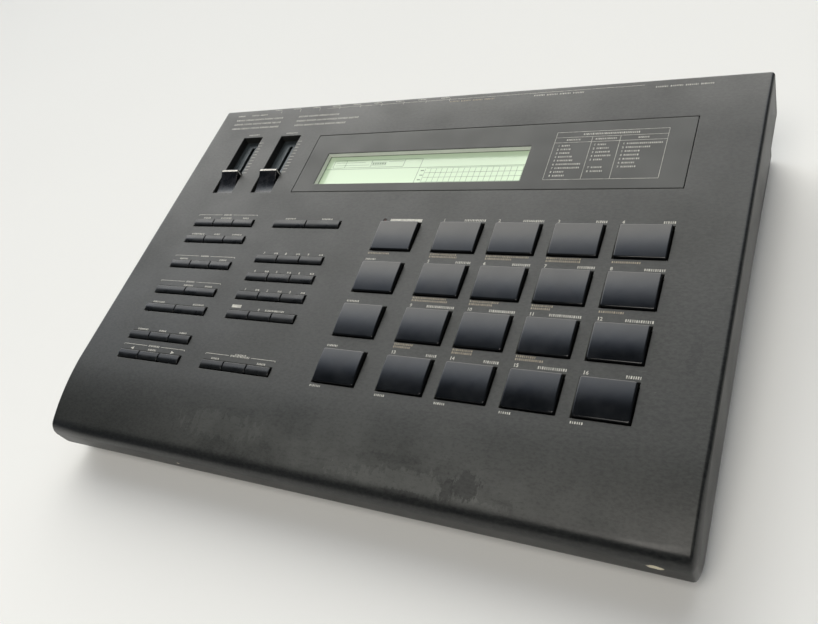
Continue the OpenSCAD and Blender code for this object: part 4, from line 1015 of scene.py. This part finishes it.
# Table on the display plate: frame, two header lines, three columns of short rows. A column is
# (x, x where its words have to end, widths of its words).
table_x, table_y = (86.65, 152.9), (-79.8, -41.6)
header_y, inner_x = (-46.0, -50.2), (109.3, 126.0)
row_first, row_step, table_high = -52.8, 3.0, 1.2
for y in (*table_y, *header_y):
    pale.extend(stroke(table_x[0], y, table_x[1], y, frame_wide))
for x, top in ((table_x[0], table_y[1]), (table_x[1], table_y[1]), (inner_x[0], header_y[0]),
               (inner_x[1], header_y[0])):
    pale.extend(stroke(x, table_y[0] + 0.15, x, top - 0.15, frame_wide))
pale.extend(word_marks(119.8, -43.8, 34, 0, 1.4))
for x, width in ((98, 9), (117.6, 13), (139.4, 6)):
    pale.extend(word_marks(x, -48.1, width, 0))
for x, end, widths in ((89.6, 108.2, (5, 7, 7, 9, 10, 15, 15, 6, 8)),
                       (111.4, 125.2, (5, 8, 9, 10, 5, 0, 7, 8, 0)),
                       (128.4, 169.2, (20, 14, 9, 9, 10, 8, 9, 0, 0))):
    for step, width in enumerate(widths):
        y = row_first - row_step * step
        if width:
            pale.extend(word_marks(x + 2.2, y, min(width, end - x), -1, table_high))
            numbers.append(digits(str(step + 1), x, y - 0.65, table_digit_size))

# Arrows at the two outer keys of the last left row: a triangle carried up through the ink
arrow_y = key_row_y(left_key_rows[-1]) + key_word_up
arrow_tip, arrow_foot, arrow_half = 1.6, 1.2, 1.1
for x, way in ((left_edges[0], -1), (left_edges[2], 1)):
    tip = np.array([[x + way * arrow_tip, arrow_y], [x - way * arrow_foot, arrow_y + arrow_half],
                    [x - way * arrow_foot, arrow_y - arrow_half]])[::way]
    numbers.append(ring_faces(np.stack([np.c_[tip, np.full(3, z)] for z in (ink_low, ink_high)]),
                              high_cap=True))

# Matt screen ink. The eye sees print that has yellowed and thinned a little with use.
marks = make_piece("pale_print", *joined([flat_marks(pale, ink_low, ink_high)] + numbers), sharp=30)
tan_marks = make_piece("tan_print", *flat_marks(tan, ink_low, ink_high), sharp=30)
for print_piece, name, colour, stops in (
        (marks, "pale_ink", "#a9a79e", ((0.3, "#8c8b83"), (0.6, "#b9b7ad"))),
        (tan_marks, "tan_ink", "#8d826d", ((0.3, "#776e5d"), (0.6, "#948973")))):
    ink, *_ = finish(name, colour, 0.55, tones=((500, 4), *stops))
    fit_piece(print_piece, "case", "case_plastic", ink)

# ---- Rear panel and sockets --------------------------------------------------------------
# Painted steel plate between the side walls. Eleven phone jacks with nickel nuts, round
# five-pin sockets, sync jacks, the inlet, the power button and the frame of two card slots
# come out through it. The jacks' bushes are turned brass, blackened, with a fine thread.
rear_face = 136.835
jack_height = 38.0
jack_places = [(-x, jack_height) for x in socket_x + socket_step * np.arange(11)]
block_half, block_corner, block_face, block_back = (7.0, 6.0), 0.3, -1.25, -21.25
bush_r, bush_bore, bush_out, bush_floor = 4.4, 3.2, 3.4, -18.0
bush_round, bore_round, bore_lip = 0.5, 0.12, 0.15
nut_across, nut_high, nut_low, nut_cone, nut_cut = 6.6, 1.8, 0.02, 6.45, 0.6
nut_bevel, nut_sink = 0.4, 0.25
nut_bore, nut_mouth = bush_r + 0.06, bush_r + 0.3
thread_step, thread_deep = 0.3, 0.2


def on_rear(points):
    """Millimetres on the rear panel to metres: x to the viewer's right when facing the rear
    panel, so world minus X, y up from the table, and z out of the panel."""
    x, y, z = np.moveaxis(np.asarray(points, float), -1, 0)
    return np.stack([-x, rear_face + z, y], -1) / 1000


def phone_jack(at):
    """One jack: an oblong block, then a bush whose outside waves in and out by the thread's
    depth at every half turn of its pitch, a rounded mouth, and the bore with its floor."""
    rise = np.arange(0, bush_out - bush_round, thread_step / 2)
    crest = bush_r - thread_deep * (np.arange(len(rise)) % 2)
    rows = [[bush_r - thread_deep, block_face], *np.stack([crest, rise], 1).tolist(),
            [bush_r - 2 * thread_deep, bush_out], [bush_bore + bush_round, bush_out],
            [bush_bore + bore_round, bush_out - bore_lip], [bush_bore, bush_out - bush_round],
            [bush_bore, bush_floor], [0.0, bush_floor]]
    block = [[*at, *block_half, block_corner, z] for z in (block_back, block_face)]
    return ring_faces(outline_rings(block + [[*at, r, r, r, z] for r, z in rows], 7, 1))


def polar_rings(at, angle, rows):
    """Rings about one centre, one for each row (distance, height). A point goes out from the
    centre by the distance, which may differ with the angle, times cos and sin."""
    return np.stack([np.stack([at[0] + r * np.cos(angle), at[1] + r * np.sin(angle),
                               z + 0 * angle], 1) for r, z in rows])


def hex_nut(at):
    """A six-sided nut, its corners cut by a cone at the top: a point of a ring lies at the
    hexagon's distance, or at the cone's radius where that is less."""
    angle = np.linspace(0, 2 * math.pi, 49)[:-1]
    flat = nut_across * math.cos(math.pi / 6) / np.cos((angle % (math.pi / 3)) - math.pi / 6)
    rows = [(flat, nut_low), (np.minimum(flat, nut_cone), nut_high - nut_bevel),
            (np.minimum(flat, nut_cone - nut_cut), nut_high), (nut_mouth, nut_high),
            (nut_bore, nut_high - nut_sink), (nut_bore, nut_low)]
    return ring_faces(polar_rings(at, angle, rows), low_cap=False, closed=True)


# Black glass-filled nylon. The eye sees a dry satin black with greyer patches.
black_moulding, *_ = finish("socket_moulding", "#111213", 0.38,
                            tones=((260, 3), (0.35, "#0e0f10"), (0.75, "#1d1e1e")),
                            dull=((90, 3), 0.3, 0.7, 0.3, 0.5),
                            relief=((2200, 2), 0.15, 0.00002))
jacks = make_piece("phone_jack_set", *joined([phone_jack(at) for at in jack_places]),
                   place=on_rear, sharp=30)
fit_piece(jacks, "case", "black_plastic", black_moulding, "phone_jacks")
for node in ("din_sockets", "sync_sockets", "dc_inlet", "power_switch", "power_button",
             "card_slots"):
    dress(node, black_moulding)

# Nickel plate over brass and steel. The eye sees a warm metal with clouded and clearer places.
nickel, *_ = finish("nickel", "#b8b6ae", 0.28, 1.0,
                    tones=((240, 5), (0.3, "#8d8a82"), (0.7, "#c4c2ba")),
                    dull=((420, 4), 0.3, 0.7, 0.2, 0.42))
nuts = make_piece("jack_nut_set", *joined([hex_nut(at) for at in jack_places]), place=on_rear,
                  sharp=25)
fit_piece(nuts, "case", "nickel_plate", nickel, "jack_nuts")

# Baked enamel on steel: the eye sees a fine orange peel, soft shine and a few rubbed places
black_steel, tree, shader, place = finish("baked_enamel", "#17181a", 0.42,
                                          dull=((60, 4), 0.3, 0.7, 0.34, 0.52),
                                          relief=((900, 2), 0.2, 0.00005))
tone = add(tree, "ValToRGB", {"Fac": clouds(tree, place, 22, 3)},
           stops=((0.3, "#141517"), (0.7, "#1d1f21")))
worn = clouds(tree, place, 130, 7, roughness=0.75)
tone = layer(tree, tone, "#4a4b4c", (worn, 0.66, 0.76, 0, 0.5))
tree.links.new(tone, shader.inputs["Base Color"])
dress("rear_panel", black_steel)

# ---- Chassis, screws and feet ------------------------------------------------------------
# The folded steel tray closes the machine from below. Eight screws hold it to the case's
# posts, four more hold the rear panel, and four tapered rubber feet are stuck to its corners.
head_r, head_high = 2.8, 1.8
head_rows = ((1, 0), (1, 0.45), (0.93, 0.75), (0.75, 0.96))
cross_half, cross_long, cross_deep = 0.42, 1.75, 0.9
cross_rim, cross_taper = 1.9, 0.9
shank_r, shank_long = 1.5, 9.0
tray_under = 3.0
posts = [(-194.1, -251), (-27, -251), (194.1, -251), (-194.1, -97), (-27, -125), (194.1, -97),
         (-194.1, -48), (194.1, -66)]
rear_screws = [(x, 51.5) for x in (-190, -60, 60, 190)]
post_r, post_low, post_gap = 4.0, 4.2, 0.4
screw_clear = 0.05
foot_places = [(x, y) for x in (-175.6, 175.6) for y in (-92.33, 111.635)]
foot_wide, foot_narrow, foot_high = 8.0, 7.2, 3.0
foot_edge = ((0.5, 0.0), (0.15, 0.12), (0.0, 0.45))


def screw_rings(at):
    """Rings of a pan-head screw that points down: shank, flat underside, domed head, then the
    outline of a cross that goes straight down. The cross at an angle lies where the longer of
    its two bars ends; its corners' angles are among those of every ring."""
    tip, notch = math.atan2(cross_half, cross_long), math.pi / 4
    quarter = np.array([-tip, 0, tip, notch * 0.7, notch, notch * 1.3])
    angle = (np.arange(4)[:, None] * math.pi / 2 + quarter).ravel()
    c, s = np.abs(np.cos(angle)) + 1e-9, np.abs(np.sin(angle)) + 1e-9
    cross = np.maximum(np.minimum(cross_long / c, cross_half / s),
                       np.minimum(cross_long / s, cross_half / c))
    rows = [(shank_r, -shank_long), (shank_r, 0.0), *(np.array(head_rows) * (head_r, head_high)),
            (np.maximum(cross, cross_rim), head_high), (cross, head_high),
            (cross * cross_taper, head_high - cross_deep), (0.0, head_high - cross_deep)]
    return ring_faces(polar_rings(at, angle, rows))


def on_underside(points):
    """Millimetres on the tray's underside to metres: x as the world's, y from the front to the
    rear turned over, z down out of the tray."""
    x, y, z = np.moveaxis(np.asarray(points, float), -1, 0)
    return np.stack([x, -y, tray_under - z], -1) / 1000


post_world = [(x, panel_rear[0] + y * math.cos(panel_tilt)) for x, y in posts]
under_screws = make_piece("chassis_screws",
                          *joined([screw_rings((x, -y)) for x, y in post_world]),
                          place=on_underside, sharp=25)
back_screws = make_piece("rear_screws", *joined([screw_rings(at) for at in rear_screws]),
                         place=on_rear, sharp=25)
fit_piece(under_screws, "case", "nickel_plate", nickel, "case_screws")
fit_piece(back_screws, "case", "nickel_plate", nickel)
dress("bottom_chassis", black_steel)


def foot_rings(at):
    """One foot: a cone's frustum that rests on the table, with a small round at its edge."""
    rows = [[foot_narrow - inward, up] for inward, up in foot_edge] + [[foot_wide, foot_high]]
    return ring_faces(circle_rings(at, rows, 9), high_cap=True)


# Black rubber. The eye sees a matt, slightly dusty surface.
foot_rubber, *_ = finish("foot_rubber", "#141414", 0.8,
                         tones=((400, 5), (0.35, "#101010"), (0.7, "#232221")),
                         relief=((1800, 3), 0.3, 0.00006))
pads_below = make_piece("rubber_feet", *joined([foot_rings(at) for at in foot_places]),
                        place=on_table)
fit_piece(pads_below, "case", "foot_rubber", foot_rubber, "feet")

# Hollow posts of the case that take the screws, from the panel down to the tray
posts_down = []
for (x, y), (_, world_y) in zip(posts, post_world):
    roll_drop = max(0, roll[0] - y) ** 2 / (2 * roll_r)
    high = panel_rear[1] + y * math.sin(panel_tilt) - roll_drop - wall - post_gap
    low = post_low + screw_clear
    rows = [[post_r, low], [post_r, high], [shank_r + screw_clear, high],
            [shank_r + screw_clear, low]]
    posts_down.append(ring_faces(circle_rings((x, world_y), rows), low_cap=False, closed=True))
screw_posts = make_piece("case_screw_posts", *joined(posts_down), place=on_table)
fit_piece(screw_posts, "case", "case_plastic", case_plastic)

# ---- Boards and mat ----------------------------------------------------------------------
# Glass-fibre boards under green lacquer, with lighter tracks that run across each other, and
# the mat of milky silicone whose domes push the pads back up.
track_pitch, bands_in_unit = 0.9, 6.3

# The eye sees deep green, with lighter lines where copper lies under the lacquer
board_lacquer, tree, shader, place = finish("board_lacquer", "#1d4a33", 0.32)
tracks, across_tracks = (add(tree, "TexWave", {"Vector": place,
                                               "Scale": 1000 / track_pitch / bands_in_unit,
                                               "Distortion": 3.0, "Detail": 1.0,
                                               "Detail Scale": 0.3}, bands_direction=way)
                         for way in ("X", "Y"))
side_choice = mask(tree, (clouds(tree, place, 30, 1), 0.48, 0.5, 0, 1))
copper = add(tree, "Mix", {0: side_choice, mix_first: tracks, mix_second: across_tracks}, mix_out,
             data_type="RGBA")
lines = add(tree, "ValToRGB", {"Fac": copper}, stops=((0.62, "#1a4630"), (0.72, "#2f6a49")))
tone = layer(tree, lines, "#16382a", (clouds(tree, place, 18, 2), 0.3, 0.7, 0, 0.35))
tree.links.new(tone, shader.inputs["Base Color"])
for node in ("lcd_board", "pad_board", "key_board", "main_board", "jack_board"):
    dress(node, board_lacquer)

# The eye sees a cloudy, waxy grey with a little depth
milky_silicone, *_ = finish("milky_silicone", "#9a9a94", 0.6, Subsurface_Weight=0.15,
                            tones=((90, 3), (0.3, "#8d8d87"), (0.7, "#a5a59f")))
dress("pad_mat", milky_silicone)
